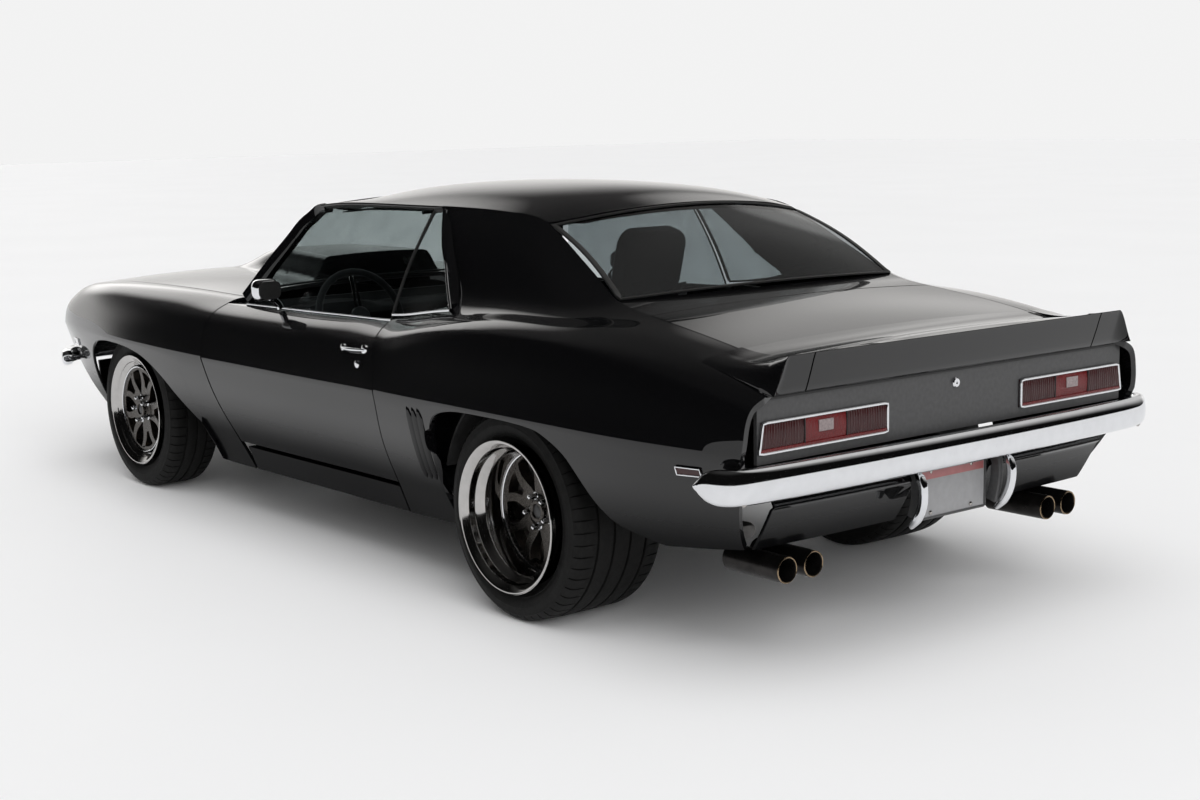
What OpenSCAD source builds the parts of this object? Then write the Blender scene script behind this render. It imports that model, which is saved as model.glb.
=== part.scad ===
// Two-door fastback muscle car, one shared frame in millimetres.
// +X forward, +Y left, +Z up; origin under the middle of the car, on the ground.

/* [Show] */
// sub-part to draw

/* [Wheels] */
// front tyre radius
tyre_r_front = 326; // [318:1:328]
// rear tyre radius
tyre_r_rear = 326; // [320:1:330]

/* [Body] */
// skin thickness of the front fenders
fender_skin = 14; // [10:1:16]
// skin thickness of the quarter panels
quarter_skin = 25; // [20:1:28]
// thickness of the roof
roof_thick = 30; // [24:1:36]
// height of the hood scoop
scoop_height = 96; // [60:1:110]

/* [Hidden] */
$fn = 64;
wb_f = 1430;
wb_r = -1313;

// long lines of the body side, hand-set: [station x, value]
Y0 = [[-2330,690],[-2150,722],[-1900,772],[-1600,800],[-1313,805],[-900,790],[-600,776],[0,768],[600,770],[900,775],[1430,762],[1800,705],[2100,630],[2330,545]];
Z0 = [[-2330,372],[-2150,345],[-1900,322],[-1600,290],[-1313,250],[-900,222],[-600,212],[0,208],[600,208],[900,212],[1430,225],[1800,245],[2100,262],[2330,280]];
Y1 = [[-2330,745],[-2150,785],[-1900,838],[-1600,862],[-1313,864],[-900,840],[-600,816],[0,808],[600,812],[900,822],[1430,818],[1800,765],[2100,692],[2330,610]];
Z1 = [[-2330,440],[-2150,415],[-1900,390],[-1600,365],[-1313,340],[-900,320],[-600,312],[0,308],[600,308],[900,312],[1430,325],[1800,345],[2100,360],[2330,375]];
Y2 = [[-2330,808],[-2150,848],[-1900,892],[-1600,912],[-1313,916],[-900,900],[-600,885],[0,880],[600,884],[900,889],[1430,872],[1800,822],[2100,752],[2330,675]];
Z2 = [[-2330,540],[-2150,525],[-1900,510],[-1600,500],[-1313,492],[-900,480],[-600,475],[0,472],[600,472],[900,474],[1430,480],[1800,492],[2100,500],[2330,505]];
Y3 = [[-2330,852],[-2150,890],[-1900,922],[-1600,937],[-1313,940],[-900,932],[-600,924],[-300,920],[0,919],[300,920],[600,924],[900,926],[1150,920],[1430,902],[1700,864],[1900,828],[2100,784],[2250,742],[2330,715]];
Z3 = [[-2330,632],[-1900,638],[-1313,640],[-600,636],[0,634],[600,636],[1150,638],[1430,638],[1800,634],[2100,630],[2330,625]];
Y4 = [[-2330,846],[-2150,880],[-1900,905],[-1600,919],[-1313,923],[-900,914],[-600,904],[-300,898],[0,896],[300,896],[600,898],[900,902],[1150,898],[1430,882],[1700,848],[1900,812],[2100,770],[2250,728],[2330,700]];
Z4 = [[-2330,705],[-1900,735],[-1313,745],[-600,733],[0,726],[600,726],[1430,725],[1900,712],[2330,690]];
Y5 = [[-2330,825],[-2150,852],[-1900,872],[-1600,884],[-1313,886],[-1050,882],[-800,872],[-600,862],[-300,856],[0,854],[300,854],[600,857],[900,862],[1150,860],[1430,846],[1700,820],[1900,787],[2100,744],[2250,702],[2330,674]];
Z5 = [[-2330,758],[-2150,800],[-1900,842],[-1600,868],[-1313,874],[-1050,866],[-800,838],[-600,808],[-300,796],[0,792],[300,790],[600,790],[900,792],[1150,792],[1430,788],[1700,780],[1900,768],[2100,750],[2330,722]];
Y6 = [[-2330,785],[-2150,808],[-1900,822],[-1600,828],[-1313,826],[-1050,815],[-800,800],[-600,785],[-300,775],[0,772],[300,772],[600,778],[900,795],[1150,799],[1430,789],[1700,766],[1900,735],[2100,695],[2250,656],[2330,628]];
Z6 = [[-2330,782],[-2150,824],[-1900,870],[-1600,900],[-1313,910],[-1050,904],[-800,880],[-600,854],[-300,842],[0,836],[300,832],[600,830],[900,836],[1150,838],[1430,836],[1700,828],[1900,816],[2100,794],[2250,765],[2330,745]];
YF7 = [[300,735],[600,736],[900,748],[1430,744],[1900,697],[2100,662],[2330,597]];
ZF7 = [[300,842],[600,843],[900,850],[1430,848],[1900,826],[2100,804],[2330,757]];
YF8 = [[300,690],[600,692],[900,700],[1430,700],[1900,660],[2100,628],[2330,565]];
ZF8 = [[300,846],[600,847],[900,853],[1430,851],[1900,829],[2100,807],[2330,760]];
YR7 = [[-2330,740],[-2150,760],[-1900,770],[-1700,768],[-1500,762],[-1313,760],[-1050,758],[-900,752],[-700,742],[-440,735]];
ZR7 = [[-2330,797],[-2150,840],[-1900,886],[-1700,910],[-1500,922],[-1313,930],[-1050,936],[-900,934],[-700,905],[-440,860]];
YR8 = [[-2330,690],[-2150,705],[-1900,710],[-1700,704],[-1500,690],[-1300,678],[-1087,664],[-900,664],[-700,666],[-440,670]];
ZR8 = [[-2330,805],[-2150,849],[-1900,896],[-1700,920],[-1500,942],[-1300,998],[-1087,1052],[-900,1072],[-700,1070],[-440,1050]];
YR9 = [[-2330,622],[-2150,628],[-1900,626],[-1700,612],[-1600,604],[-1506,597],[-1400,582],[-1300,567],[-1200,552],[-1087,540],[-900,548],[-700,560],[-440,574]];
ZR9 = [[-2330,812],[-2150,857],[-1900,904],[-1700,932],[-1600,946],[-1506,969],[-1400,1024],[-1300,1078],[-1200,1132],[-1087,1187],[-900,1212],[-700,1220],[-440,1222]];
YT9 = [[-1140,536],[-1087,540],[-900,548],[-700,560],[-440,574],[-100,582],[150,580],[290,572]];
ZT9 = [[-1140,1172],[-1087,1187],[-900,1212],[-700,1220],[-440,1222],[-100,1222],[150,1212],[290,1196]];
ZT12 = [[-1180,1226],[-1100,1246],[-950,1270],[-750,1284],[-500,1288],[-200,1282],[50,1266],[200,1248],[320,1226]];
DFT = [[0,460],[1,490],[2,530],[3,570],[4,590],[5,600],[6,608],[8,612]];
DRT = [[0,-612],[1,-614],[2,-625],[3,-638],[4,-612],[5,-570],[6,-528]];
RRT = [[0,-2165],[1,-2205],[2,-2260],[3,-2298],[4,-2306],[5,-2310],[9,-2312]];
FC = [[465,0,575,613],[540,0,630,670],[615,0,690,730],[690,0,750,790],[705,1.0,805,850],[775,1.4,855,900],[860,1.85,905,950],[950,2.3,965,1000],[1050,2.62,1035,1060],[1150,2.80,1115,1130],[1280,2.90,1210,1210],[1360,2.92,1310,1300],[1450,2.92,1420,1410],[1560,2.88,1540,1520],[1650,2.76,1630,1610],[1715,2.50,1700,1690],[1748,2.15,1750,1750],[1765,1.7,1790,1800],[1773,1.2,1825,1850],[1777,0.6,1860,1900],[1780,0,1900,1950],[1850,0,1955,2010],[1940,0,2020,2075],[2030,0,2100,2150],[2110,0,2252,2258]];
QC = [[-616,0,-642],[-700,0,-700],[-790,0,-770],[-880,0,-840],[-938,0,-890],[-934,0.7,-915],[-932,1.4,-935],[-938,2.0,-955],[-952,2.45,-985],[-985,2.74,-1030],[-1040,2.88,-1090],[-1120,2.95,-1160],[-1220,2.97,-1240],[-1330,2.97,-1330],[-1430,2.95,-1420],[-1510,2.90,-1500],[-1580,2.72,-1570],[-1640,2.45,-1640],[-1690,2.0,-1700],[-1740,1.45,-1760],[-1800,0.85,-1820],[-1860,0.35,-1880],[-1910,0,-1940],[-1980,0,-2020],[-2050,0,-2110],[-2110,0,-2210],[-2165,0,-2298]];
SC = [[-532,-536,6.2],[-600,-604,6.36],[-700,-706,6.56],[-800,-810,6.74],[-870,-900,6.9],[-905,-858,7.3],[-935,-796,7.75],[-965,-728,8.2],[-995,-650,8.65],[-1025,-556,9],[-1060,-640,9],[-1100,-740,9],[-1150,-850,9],[-1210,-960,9],[-1270,-1040,9],[-1320,-1100,9],[-1370,-1190,9],[-1420,-1290,9],[-1480,-1390,9],[-1540,-1480,9],[-1620,-1580,9],[-1720,-1690,9],[-1820,-1800,9],[-1930,-1920,9],[-2040,-2030,9],[-2140,-2130,9],[-2220,-2210,9],[-2282,-2282,9]];

// smooth curve through a table
function fwd(k, i=1, cp=0, dp=0) = i >= len(k)-1 ? [] :
  let(a=k[i][0]-k[i-1][0], c=k[i+1][0]-k[i][0], b=2*(a+c),
      d=6*((k[i+1][1]-k[i][1])/c-(k[i][1]-k[i-1][1])/a),
      den=b-a*cp, c2=c/den, d2=(d-a*dp)/den)
  concat([[c2,d2]], fwd(k,i+1,c2,d2));
function back(f,i,nx) = i<0 ? [] : let(m=f[i][1]-f[i][0]*nx) concat(back(f,i-1,m),[m]);
function sp(k) = len(k)<3 ? [k,[0,0]] : let(f=fwd(k)) [k, concat([0],back(f,len(f)-1,0),[0])];
function seg(k,x,i=0) = (i >= len(k)-2 || x < k[i+1][0]) ? i : seg(k,x,i+1);
function sv(s,x0) = let(k=s[0], m=s[1], x=min(max(x0,k[0][0]),k[len(k)-1][0]), i=seg(k,x),
  h=k[i+1][0]-k[i][0], A=(k[i+1][0]-x)/h, B=1-A)
  A*k[i][1]+B*k[i+1][1]+((A*A*A-A)*m[i]+(B*B*B-B)*m[i+1])*h*h/6;
SY = [sp(Y0),sp(Y1),sp(Y2),sp(Y3),sp(Y4),sp(Y5),sp(Y6)];
SZ = [sp(Z0),sp(Z1),sp(Z2),sp(Z3),sp(Z4),sp(Z5),sp(Z6)];
FY = [sp(YF7),sp(YF8)]; FZ = [sp(ZF7),sp(ZF8)];
RY = [sp(YR7),sp(YR8),sp(YR9)]; RZ = [sp(ZR7),sp(ZR8),sp(ZR9)];
TY9 = sp(YT9); TZ9 = sp(ZT9); TZ12 = sp(ZT12);
DF = sp(DFT); DR = sp(DRT); RR = sp(RRT);
function cum(p,i=1,u=0) = i>=len(p) ? [] : let(w=u+norm(p[i]-p[i-1])) concat([w],cum(p,i+1,w));
// a smooth curve through points, run by point number
function curve(p) = let(u=concat([0],cum(p))) [u, [for(j=[0:len(p[0])-1]) sp([for(i=[0:len(p)-1]) [u[i],p[i][j]]])]];
function cv(c,t) = let(u=c[0], i=min(max(floor(t),0),len(u)-2), w=u[i]+(t-i)*(u[i+1]-u[i])) [for(s=c[1]) sv(s,w)];
// zone: 0 door, 1 front, 2 rear
function secpts(x,zone) = concat([for(i=[0:6]) [sv(SY[i],x),sv(SZ[i],x)]],
  zone==1 ? [for(i=[0:1]) [sv(FY[i],x),sv(FZ[i],x)]] : [], zone==2 ? [for(i=[0:2]) [sv(RY[i],x),sv(RZ[i],x)]] : []);
function surf(x,t,zone) = let(p=secpts(x,zone))
  t<3 ? concat([x], cv(curve([for(i=[0:3]) p[i]]),t)) : concat([x], cv(curve([for(i=[3:len(p)-1]) p[i]]),t-3));
function lerp(a,b,s) = a+(b-a)*s;
function look(k,t) = let(i=seg(k,t)) lerp(k[i][1],k[i+1][1],(t-k[i][0])/(k[i+1][0]-k[i][0]));

// a closed solid between two grids of the same size
function idx(i,j,m) = i*m+j;
module slab(G,H) {
  n=len(G); m=len(G[0]); o=n*m;
  polyhedron(points=concat([for(r=G) for(p=r) p],[for(r=H) for(p=r) p]),
    faces=concat(
      [for(i=[0:n-2]) for(j=[0:m-2]) [idx(i,j,m),idx(i,j+1,m),idx(i+1,j+1,m)]],
      [for(i=[0:n-2]) for(j=[0:m-2]) [idx(i,j,m),idx(i+1,j+1,m),idx(i+1,j,m)]],
      [for(i=[0:n-2]) for(j=[0:m-2]) [o+idx(i,j,m),o+idx(i+1,j+1,m),o+idx(i,j+1,m)]],
      [for(i=[0:n-2]) for(j=[0:m-2]) [o+idx(i,j,m),o+idx(i+1,j,m),o+idx(i+1,j+1,m)]],
      [for(j=[0:m-2]) for(f=[[idx(0,j,m),o+idx(0,j,m),o+idx(0,j+1,m)],[idx(0,j,m),o+idx(0,j+1,m),idx(0,j+1,m)]]) f],
      [for(j=[0:m-2]) for(f=[[idx(n-1,j,m),o+idx(n-1,j+1,m),o+idx(n-1,j,m)],[idx(n-1,j,m),idx(n-1,j+1,m),o+idx(n-1,j+1,m)]]) f],
      [for(i=[0:n-2]) for(f=[[idx(i,0,m),o+idx(i+1,0,m),o+idx(i,0,m)],[idx(i,0,m),idx(i+1,0,m),o+idx(i+1,0,m)]]) f],
      [for(i=[0:n-2]) for(f=[[idx(i,m-1,m),o+idx(i,m-1,m),o+idx(i+1,m-1,m)],[idx(i,m-1,m),o+idx(i+1,m-1,m),idx(i+1,m-1,m)]]) f]));
}
// the same, with the faces turned
module slabr(G,H) { slab([for(i=[len(G)-1:-1:0]) G[i]],[for(i=[len(H)-1:-1:0]) H[i]]); }
function unit(v) = v/max(norm(v),0.0001);
// grid moved inward along its own normals; sgn picks the side
function inset(G,th,sgn,tw=[],rows=true) = let(n=len(G),m=len(G[0])) [for(i=[0:n-1]) [for(j=[0:m-1])
  G[i][j] + sgn*th*(len(tw)==0 ? 1 : rows ? tw[i] : tw[j])*unit(cross(G[min(i+1,n-1)][j]-G[max(i-1,0)][j], G[i][min(j+1,m-1)]-G[i][max(j-1,0)]))]];
// a bar swept along a list of points, the section given in the plane across the path
function ringpts(P,S,i) = let(n=len(P), d=unit(P[min(i+1,n-1)]-P[max(i-1,0)]), r=unit(cross(d,[0,0,1])), u=cross(r,d))
  [for(s=S) P[i]+s[0]*r+s[1]*u];
module sweep(P,S) {
  n=len(P); m=len(S); 
  polyhedron(points=[for(i=[0:n-1]) for(p=ringpts(P,S,i)) p],
    faces=concat([for(i=[0:n-2]) for(j=[0:m-1]) [i*m+j,i*m+(j+1)%m,(i+1)*m+(j+1)%m]],
      [for(i=[0:n-2]) for(j=[0:m-1]) [i*m+j,(i+1)*m+(j+1)%m,(i+1)*m+j]],
      [[for(j=[m-1:-1:0]) j]],[[for(j=[0:m-1]) (n-1)*m+j]]));
}
module both() { children(); mirror([0,1,0]) children(); }
module box(x0,x1,y0,y1,z0,z1) { translate([x0,y0,z0]) cube([x1-x0,y1-y0,z1-z0]); }
module ycyl(x,z,r,y0,y1) { translate([x,y0,z]) rotate([-90,0,0]) cylinder(r=r,h=y1-y0); }
module xcyl(y,z,r,x0,x1) { translate([x0,y,z]) rotate([0,90,0]) cylinder(r=r,h=x1-x0); }
// turned about the wheel's own axis, profile as [radius, y from the wheel centre plane]
module turned(p,fn=96) { rotate([-90,0,0]) rotate_extrude($fn=fn) polygon(p); }

// front fender: columns run from the wheel opening up to the hood line
NT = [3,3.5,4,4.4,4.8,5.2,5.6,6,6.5,7,7.5,8];
function fx(j,t) = let(c=FC[j], w=max(0,1-j/4), c0=FC[0],
   lin=t<3 ? lerp(c[0],c[2],(t-c[1])/(3-c[1])) : lerp(c[2],c[3],(t-3)/5),
   l0=t<3 ? lerp(c0[0],c0[2],t/3) : lerp(c0[2],c0[3],(t-3)/5))
   lin + (j<4 ? w*(sv(DF,t)+5-l0) : 0);
function ft(j) = concat([for(q=[0:3]) lerp(FC[j][1],3,q/4)], NT);
function fgrid() = [for(i=[0:15]) [for(j=[0:len(FC)-1]) let(t=ft(j)[i]) surf(fx(j,t),t,1)]];
module fender() { G=fgrid(); slab(G, inset(G,fender_skin,-1)); }

// quarter panel below the shoulder line
NQ = [3,3.5,4,4.4,4.8,5.2,5.6,5.98];
function qx(j,t) = let(c=QC[j], n=len(QC)-1, w=j<4 ? 1-j/4 : 0, v=j>n-4 ? 1-(n-j)/4 : 0,
   x6=c[2]+(j<12 ? (1-j/12)*0 : 0),
   lin=t<3 ? lerp(c[0],c[2],(t-c[1])/(3-c[1])) : x6)
   lin + w*(sv(DR,t)-4-(t<3 ? lerp(QC[0][0],QC[0][2],t/3) : QC[0][2])) + v*(sv(RR,t)-(t<3 ? lerp(QC[n][0],QC[n][2],t/3) : QC[n][2]));
function qt(j) = concat([for(q=[0:3]) lerp(QC[j][1],3,q/4)], NQ);
function qgrid() = [for(i=[0:11]) [for(j=[0:len(QC)-1]) let(t=qt(j)[i]) surf(qx(j,t),t,2)]];
module quarter() { G=qgrid(); slabr(G, inset(G,quarter_skin,1)); }

// sail panel and shoulder
function sgrid() = [for(i=[0:9]) [for(j=[0:len(SC)-1]) let(c=SC[j], s=i/9, t=lerp(6.02,c[2]-0.05,s), x=lerp(c[0],c[1],s)) surf(x,t,2)]];
module sail() { G=sgrid(); slabr(G, inset(G,20,1,[1,1,1,1,1,1,0.9,0.7,0.45,0.25])); }

// roof skin
function rsec(x) = let(c=sv(TZ12,x), y=sv(TY9,x), z=sv(TZ9,x)) curve([[y,z],[430,c-36],[220,c-9],[0,c],[-220,c-9],[-430,c-36],[-y,z]]);
function rpt(u,w) = let(yy=abs(w)/3, xr=-1096-78*(1-yy*yy), xf=240+48*(1-yy*yy), x=lerp(xr,xf,u), q=cv(rsec(x),3-w)) [x,q[0],q[1]];
function rgrid() = [for(i=[0:16]) [for(j=[0:18]) rpt(i/16, -2.96+5.92*j/18)]];
module roof_skin() { G=rgrid(); slab(G, inset(G,roof_thick,-1,[for(j=[0:18]) min(1,0.2+0.27*min(j,18-j))],false)); }

// height of deck, hood and scoop
function deckz(x,y) = let(e=sv(RY[2],x), q=y/e) sv(RZ[2],x)+16*(1-q*q);
function smooth(a,b,x) = let(s=min(max((x-a)/(b-a),0),1)) s*s*(3-2*s);
function hoodz(x,y) = let(e=sv(FY[1],x), q=y/e) sv(FZ[1],x)+26*(1-q*q);
function scoopw(x) = lerp(300,150,min(max((x-760)/1050,0),1));
function scoop(x,y) = scoop_height*smooth(1830,1240,x)*(x<767 ? 0 : 1)*(1-smooth(scoopw(x)-70,scoopw(x)+12,abs(y)))*lerp(1,0.94,pow(min(abs(y)/300,1),2));
function hoodrear(y) = 745-95*pow(y/690,2);
HX = [0,0.02,0.05,0.09,0.14,0.2,0.27,0.35,0.43,0.51,0.59,0.67,0.75,0.83,0.91,1];
HY = [-1,-0.8,-0.62,-0.5,-0.42,-0.36,-0.3,-0.2,0,0.2,0.3,0.36,0.42,0.5,0.62,0.8,1];
function hoodgrid() = [for(i=[0:17]) [for(v=HY) let(yr=v*686, x=i==0 ? hoodrear(yr) : i==1 ? max(762,hoodrear(yr)+6) : i==2 ? 768 : lerp(768,2250,pow((i-2)/15,0.95)), y=v*(sv(FY[1],x)-6)) [x,y,hoodz(x,y)+scoop(x,y)]]];
module hood_skin() { G=hoodgrid(); slab(G,[for(r=G) [for(p=r) p-[0,0,14]]]); }
function lidgrid() = [for(i=[0:10]) [for(j=[0:12]) let(x=lerp(-1664,-2280,i/10), y=(j/6-1)*(sv(RY[2],x)-7)) [x,y,deckz(x,y)]]];
module lid_skin() { G=lidgrid(); slabr(G,[for(r=G) [for(p=r) p-[0,0,16]]]); }
// spoiler section at y: top from the deck out to the lip, back face, then under
function spz(x,a) = a<620 ? deckz(x,a) : surf(x, a<690 ? lerp(9,8,(a-622)/70) : a<750 ? lerp(8,7,(a-692)/60) : lerp(7,6,(a-752)/36),2)[2];
function spk(y) = 1-smooth(716,784,abs(y));
function spu(y) = abs(y)>620 ? 7 : 0;
function spt(y) = let(a=abs(y), k=spk(y), u=spu(y))
  concat([for(x=[-2080,-2130,-2180,-2230,-2280]) [x,y,spz(x,a)+u+1.5+k*(x>-2081 ? 3 : (-2080-x)*0.1+pow((-2080-x)/250,2)*57+3)]],
   [[-2320,y,lerp(796,886,k)],[-2334,y,lerp(791,888,k)],[-2306,y,lerp(787,808,k)],[-2298,y,785]]);
function spb(y) = let(a=abs(y), u=spu(y))
  concat([for(x=[-2080,-2130,-2180,-2230,-2265]) [x,y,spz(x,a)+u+0.6]], [[-2283,y,spz(-2280,a)+u+0.6],[-2285,y,spz(-2280,a)+u-6],[-2286,y,788],[-2287,y,784]]);
module spoiler(ys) { slab([for(y=ys) spt(y)],[for(y=ys) spb(y)]); }
module loft(R) { n=len(R); m=len(R[0]); polyhedron(points=[for(r=R) for(p=r) p],
    faces=concat([for(i=[0:n-2]) for(j=[0:m-1]) [i*m+j,i*m+(j+1)%m,(i+1)*m+(j+1)%m]],
      [for(i=[0:n-2]) for(j=[0:m-1]) [i*m+j,(i+1)*m+(j+1)%m,(i+1)*m+j]],
      [[for(j=[m-1:-1:0]) j]],[[for(j=[0:m-1]) (n-1)*m+j]])); }

// door: outer skin grid and a flat inner face
DT = [1.05,1.5,2,2.5,3,3.5,4,4.5,5,5.5,5.98];
function dgrid() = [for(t=DT) [for(j=[0:13]) surf(lerp(sv(DR,t)+4, sv(DF,t)-5, j/13),t,0)]];
module door_shell() { G=dgrid();
  slab(G,[for(i=[0:10]) [for(j=[0:13]) let(p=G[i][j]) [p[0]+(j==0 ? 26 : 0)-(j==13 ? 6 : 0), min(728,p[1]-30), p[2]]]]); }
// side glass between the belt and the roof rail, v runs upward
function gpt(x,v) = let(y0=sv(SY[6],x)-16, z0=sv(SZ[6],x)+2.5, xt=min(max(x,-560),240), y1=sv(TY9,xt)+1, z1=sv(TZ9,xt)-14) [x, lerp(y0,y1,v)+15*sin(180*v), lerp(z0,z1,v)];
function dg(o) = [for(i=[0:8]) [for(j=[0:9]) let(v=i/8, xa=lerp(-519,-507,v), xb=lerp(488,228,pow(v,0.94))) gpt(lerp(xa,xb,j/9),v)-[0,o*0.9,o*0.42]]];
module door_glass() { slab(dg(0),dg(5)); }
function qgl(o) = [for(i=[0:8]) [for(j=[0:7]) let(v=i/8, xb=lerp(-532,-521,v), xa=lerp(-882,-561,v), x=lerp(xa,xb,j/7),
   y0=sv(SY[6],x)-14, z0=sv(SZ[6],x)+26, y1=577, z1=1204) [x,lerp(y0,y1,v)+15*sin(180*v),lerp(z0,z1,v)]-[0,o*0.9,o*0.42]]];
// windshield and rear window
function wpt(s,q) = let(y=q*lerp(668,528,s)) [lerp(692-0.0004*y*y,306-0.00018*y*y,s)+14*sin(180*s), y, lerp(884,1222-0.00008*y*y,s)+12*sin(180*s)];
function wgr(o) = [for(i=[0:6]) [for(j=[0:12]) wpt(i/6,j/6-1)-[o*0.6,0,o*0.8]]];
function bpt(s,q) = let(y=q*lerp(532,588,s), e=1-q*q) [lerp(-1114-78*e,-1502-34*e,s)-10*sin(180*s), y, lerp(1176+46*e,973+14*e,s)+16*sin(180*s)];
function bgr(o) = [for(i=[0:6]) [for(j=[0:12]) bpt(i/6,j/6-1)-[-o*0.45,0,o*0.9]]];
// panel between rear window and lid
function dpt(s,q) = let(e=1-q*q, x=lerp(-1510-34*e,-1655,s), y=q*(sv(RY[2],x)-3)) [x,y,deckz(x,y)];
function dgr(o) = [for(i=[0:4]) [for(j=[0:12]) dpt(i/4,j/6-1)-[0,0,o]]];

module door_body() { door_shell();
  translate([196,838,912]) cube([58,104,92],center=true);
  translate([204,790,852]) cube([40,60,26],center=true);
  translate([-470,912,764]) cube([150,14,20],center=true);
}
module door_glass_l() { door_glass(); }

module floor_pan() { color([0.1,0.1,0.1]) union() {
  both() box(-900,596,102,640,262,270);
  both() box(-900,596,102,110,270,340);
  box(-900,596,-110,110,340,348);
  both() box(-908,-900,102,480,262,462);
  box(-908,-900,-110,110,340,462);
  box(-2240,-900,-480,480,462,470);
  both() translate([wb_r,0,326]) difference() { ycyl(0,0,392,486,846); ycyl(0,0,384,494,900); translate([-500,496,-700]) cube([1000,500,800]); translate([-500,400,-700]) cube([1000,500,640]); translate([-60,400,-100]) cube([120,96,200]); }
}}
module front_frame() { color([0.08,0.08,0.08]) union() {
  both() { box(640,2160,330,400,230,330); box(960,2060,412,420,330,760); box(1330,1530,400,412,330,600); }
  box(1330,1530,-330,330,200,260);
  box(2080,2120,-400,400,230,330);
  box(2120,2160,-400,400,230,270);
  box(2062,2090,-520,520,330,740);
  both() box(640,700,400,640,200,300);
}}
module engine_block() { color([0.25,0.25,0.27]) box(780,1560,-300,300,280,760); }
module cowl_and_firewall() { color([0.03,0.03,0.03]) union() {
  box(600,620,-700,700,300,826);
  slabr([for(i=[0:3]) [for(j=[0:12]) let(y=(j/6-1)*684, x=lerp(hoodrear(y)-8, 700-0.0004*y*y, i/3)) [x,y,lerp(869-0.00004*y*y,874,i/3)]]],
       [for(i=[0:3]) [for(j=[0:12]) let(y=(j/6-1)*684, x=lerp(hoodrear(y)-8, 700-0.0004*y*y, i/3)) [x,y,lerp(869-0.00004*y*y,874,i/3)-12]]]);
}}
module front_fenders() { color([0.02,0.02,0.02]) both() fender(); }
// nose: header above the grille, and the valance below the bumper
function nosex(y) = 2320-0.00016*y*y-pow(max(abs(y)-420,0)/300,2)*26;
function npt(i,y) = let(q=abs(y)/560, s=[[0,760-8*q],[40,752-8*q],[74,730-8*q],[84,700],[84,664]]) [lerp(2256,nosex(y)-84,1)+s[i][0]+(i==0?-(nosex(y)-84)+2256:0), y, s[i][1]+(i<3?28*(1-q*q)*(1-i/3):0)];
function ngr(o) = [for(i=[0:4]) [for(j=[0:12]) let(y=(j/6-1)*560) npt(i,y)+[i==0?0:-o*0.8,0,i<3?-o:0]]];
function vpt(i,y) = [nosex(y)+[14,-6,-44][i]-20, y, [440,340,262][i]];
function vgr(o) = [for(i=[0:2]) [for(j=[0:12]) let(y=(j/6-1)*600) vpt(i,y)-[o,0,0]]];
module nose_panel() { color([0.02,0.02,0.02]) { slab(ngr(0),ngr(14)); slab(vgr(0),vgr(14)); } }
module grille() { color([0.05,0.05,0.05]) union() {
  box(2200,2212,-640,640,520,690);
  for(z=[530:22:684]) box(2212,2232,-640,640,z,z+6);
  for(y=[-600:60:600]) box(2212,2228,y-3,y+3,520,690);
}}
module headlamps() { color([0.9,0.9,0.92]) both() xcyl(560,592,70,2234,2268); }
RSEC = [[-30,-42],[6,-50],[26,-40],[34,-14],[36,12],[26,38],[4,50],[-30,42]];
module bar(P) { sweep(P,RSEC); }
FB = [[2076, 809], [2126, 793], [2172, 772], [2214, 743], [2250, 700], [2278, 626], [2300, 485], [2318, 340], [2328, 175], [2333, 0]];
module front_bumper() { color([0.8,0.8,0.82]) {
  sweep(concat([for(p=FB) [p[0],-p[1],482]],[for(i=[len(FB)-2:-1:0]) [FB[i][0],FB[i][1],482]]),[for(s=RSEC) [s[0]*(s[0]<0 ? 0.66 : 0.8),s[1]*0.76]]);
  both() box(2120,2284,330,390,470,500);
}}
module windshield() { color([0.3,0.35,0.36,0.5]) slabr(wgr(0),wgr(6)); }
module pillar() { loft([for(s=[0:5]) let(k=s/5, p=[lerp(540,288,k)-4*sin(180*k), lerp(734,584,k)+10*sin(180*k), lerp(852,1160,k)])
   [p+[-30,4,0],p+[22,12,0],p+[10,-26,0],p+[-26,-24,0]]]); }
module roof() { color([0.02,0.02,0.02]) { roof_skin(); both() pillar(); } }
module quarter_panels() { color([0.02,0.02,0.02]) both() quarter(); }
module sail_panels() { color([0.02,0.02,0.02]) both() sail(); }
module quarter_glass() { color([0.3,0.35,0.36,0.5]) both() slab(qgl(0),qgl(5)); }
module rear_glass() { color([0.12,0.13,0.14,0.6]) slabr(bgr(0),bgr(6)); }
module deck_panel() { color([0.02,0.02,0.02]) slabr(dgr(0),dgr(12)); }
module tail_panel() { color([0.05,0.05,0.05]) difference() {
  box(-2288,-2276,-774,774,606,780);
  both() box(-2300,-2270,291,789,634,718);
} }
module taillights() { color([0.6,0.02,0.03]) both() { box(-2296,-2276,294,455,638,714); box(-2296,-2276,458,618,638,714); box(-2296,-2276,621,775,638,714); } }
function bumpx(y) = let(a=abs(y)) -2326+26*pow(a/800,2)+(a>800 ? 22*pow((a-800)/100,2) : 0);
BP = [[-2190,928],[-2226,927],[-2258,919],[-2282,902],[-2297,872],[-2305,830],[-2311,760],[-2317,640],[-2323,460],[-2327,240],[-2328,0]];
module rear_bumper() { color([0.8,0.8,0.82]) {
  sweep(concat([for(p=BP) [p[0]-12.2,11-p[1],561]],[for(i=[len(BP)-2:-1:0]) [BP[i][0]-12.2,BP[i][1]-11,561]]),[for(i=[len(RSEC)-1:-1:0]) [-RSEC[i][0]*0.6,RSEC[i][1]*0.98]]);
  both() loft([for(p=[[-2290,188,346],[-2318,190,380],[-2334,192,415],[-2340,194,450],[-2334,195,480],[-2318,196,506]]) [[p[0]-13,p[1]-15,p[2]],[p[0]-13,p[1]+15,p[2]],[p[0]+13,p[1]+15,p[2]],[p[0]+13,p[1]-15,p[2]]]]);
}}
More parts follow.
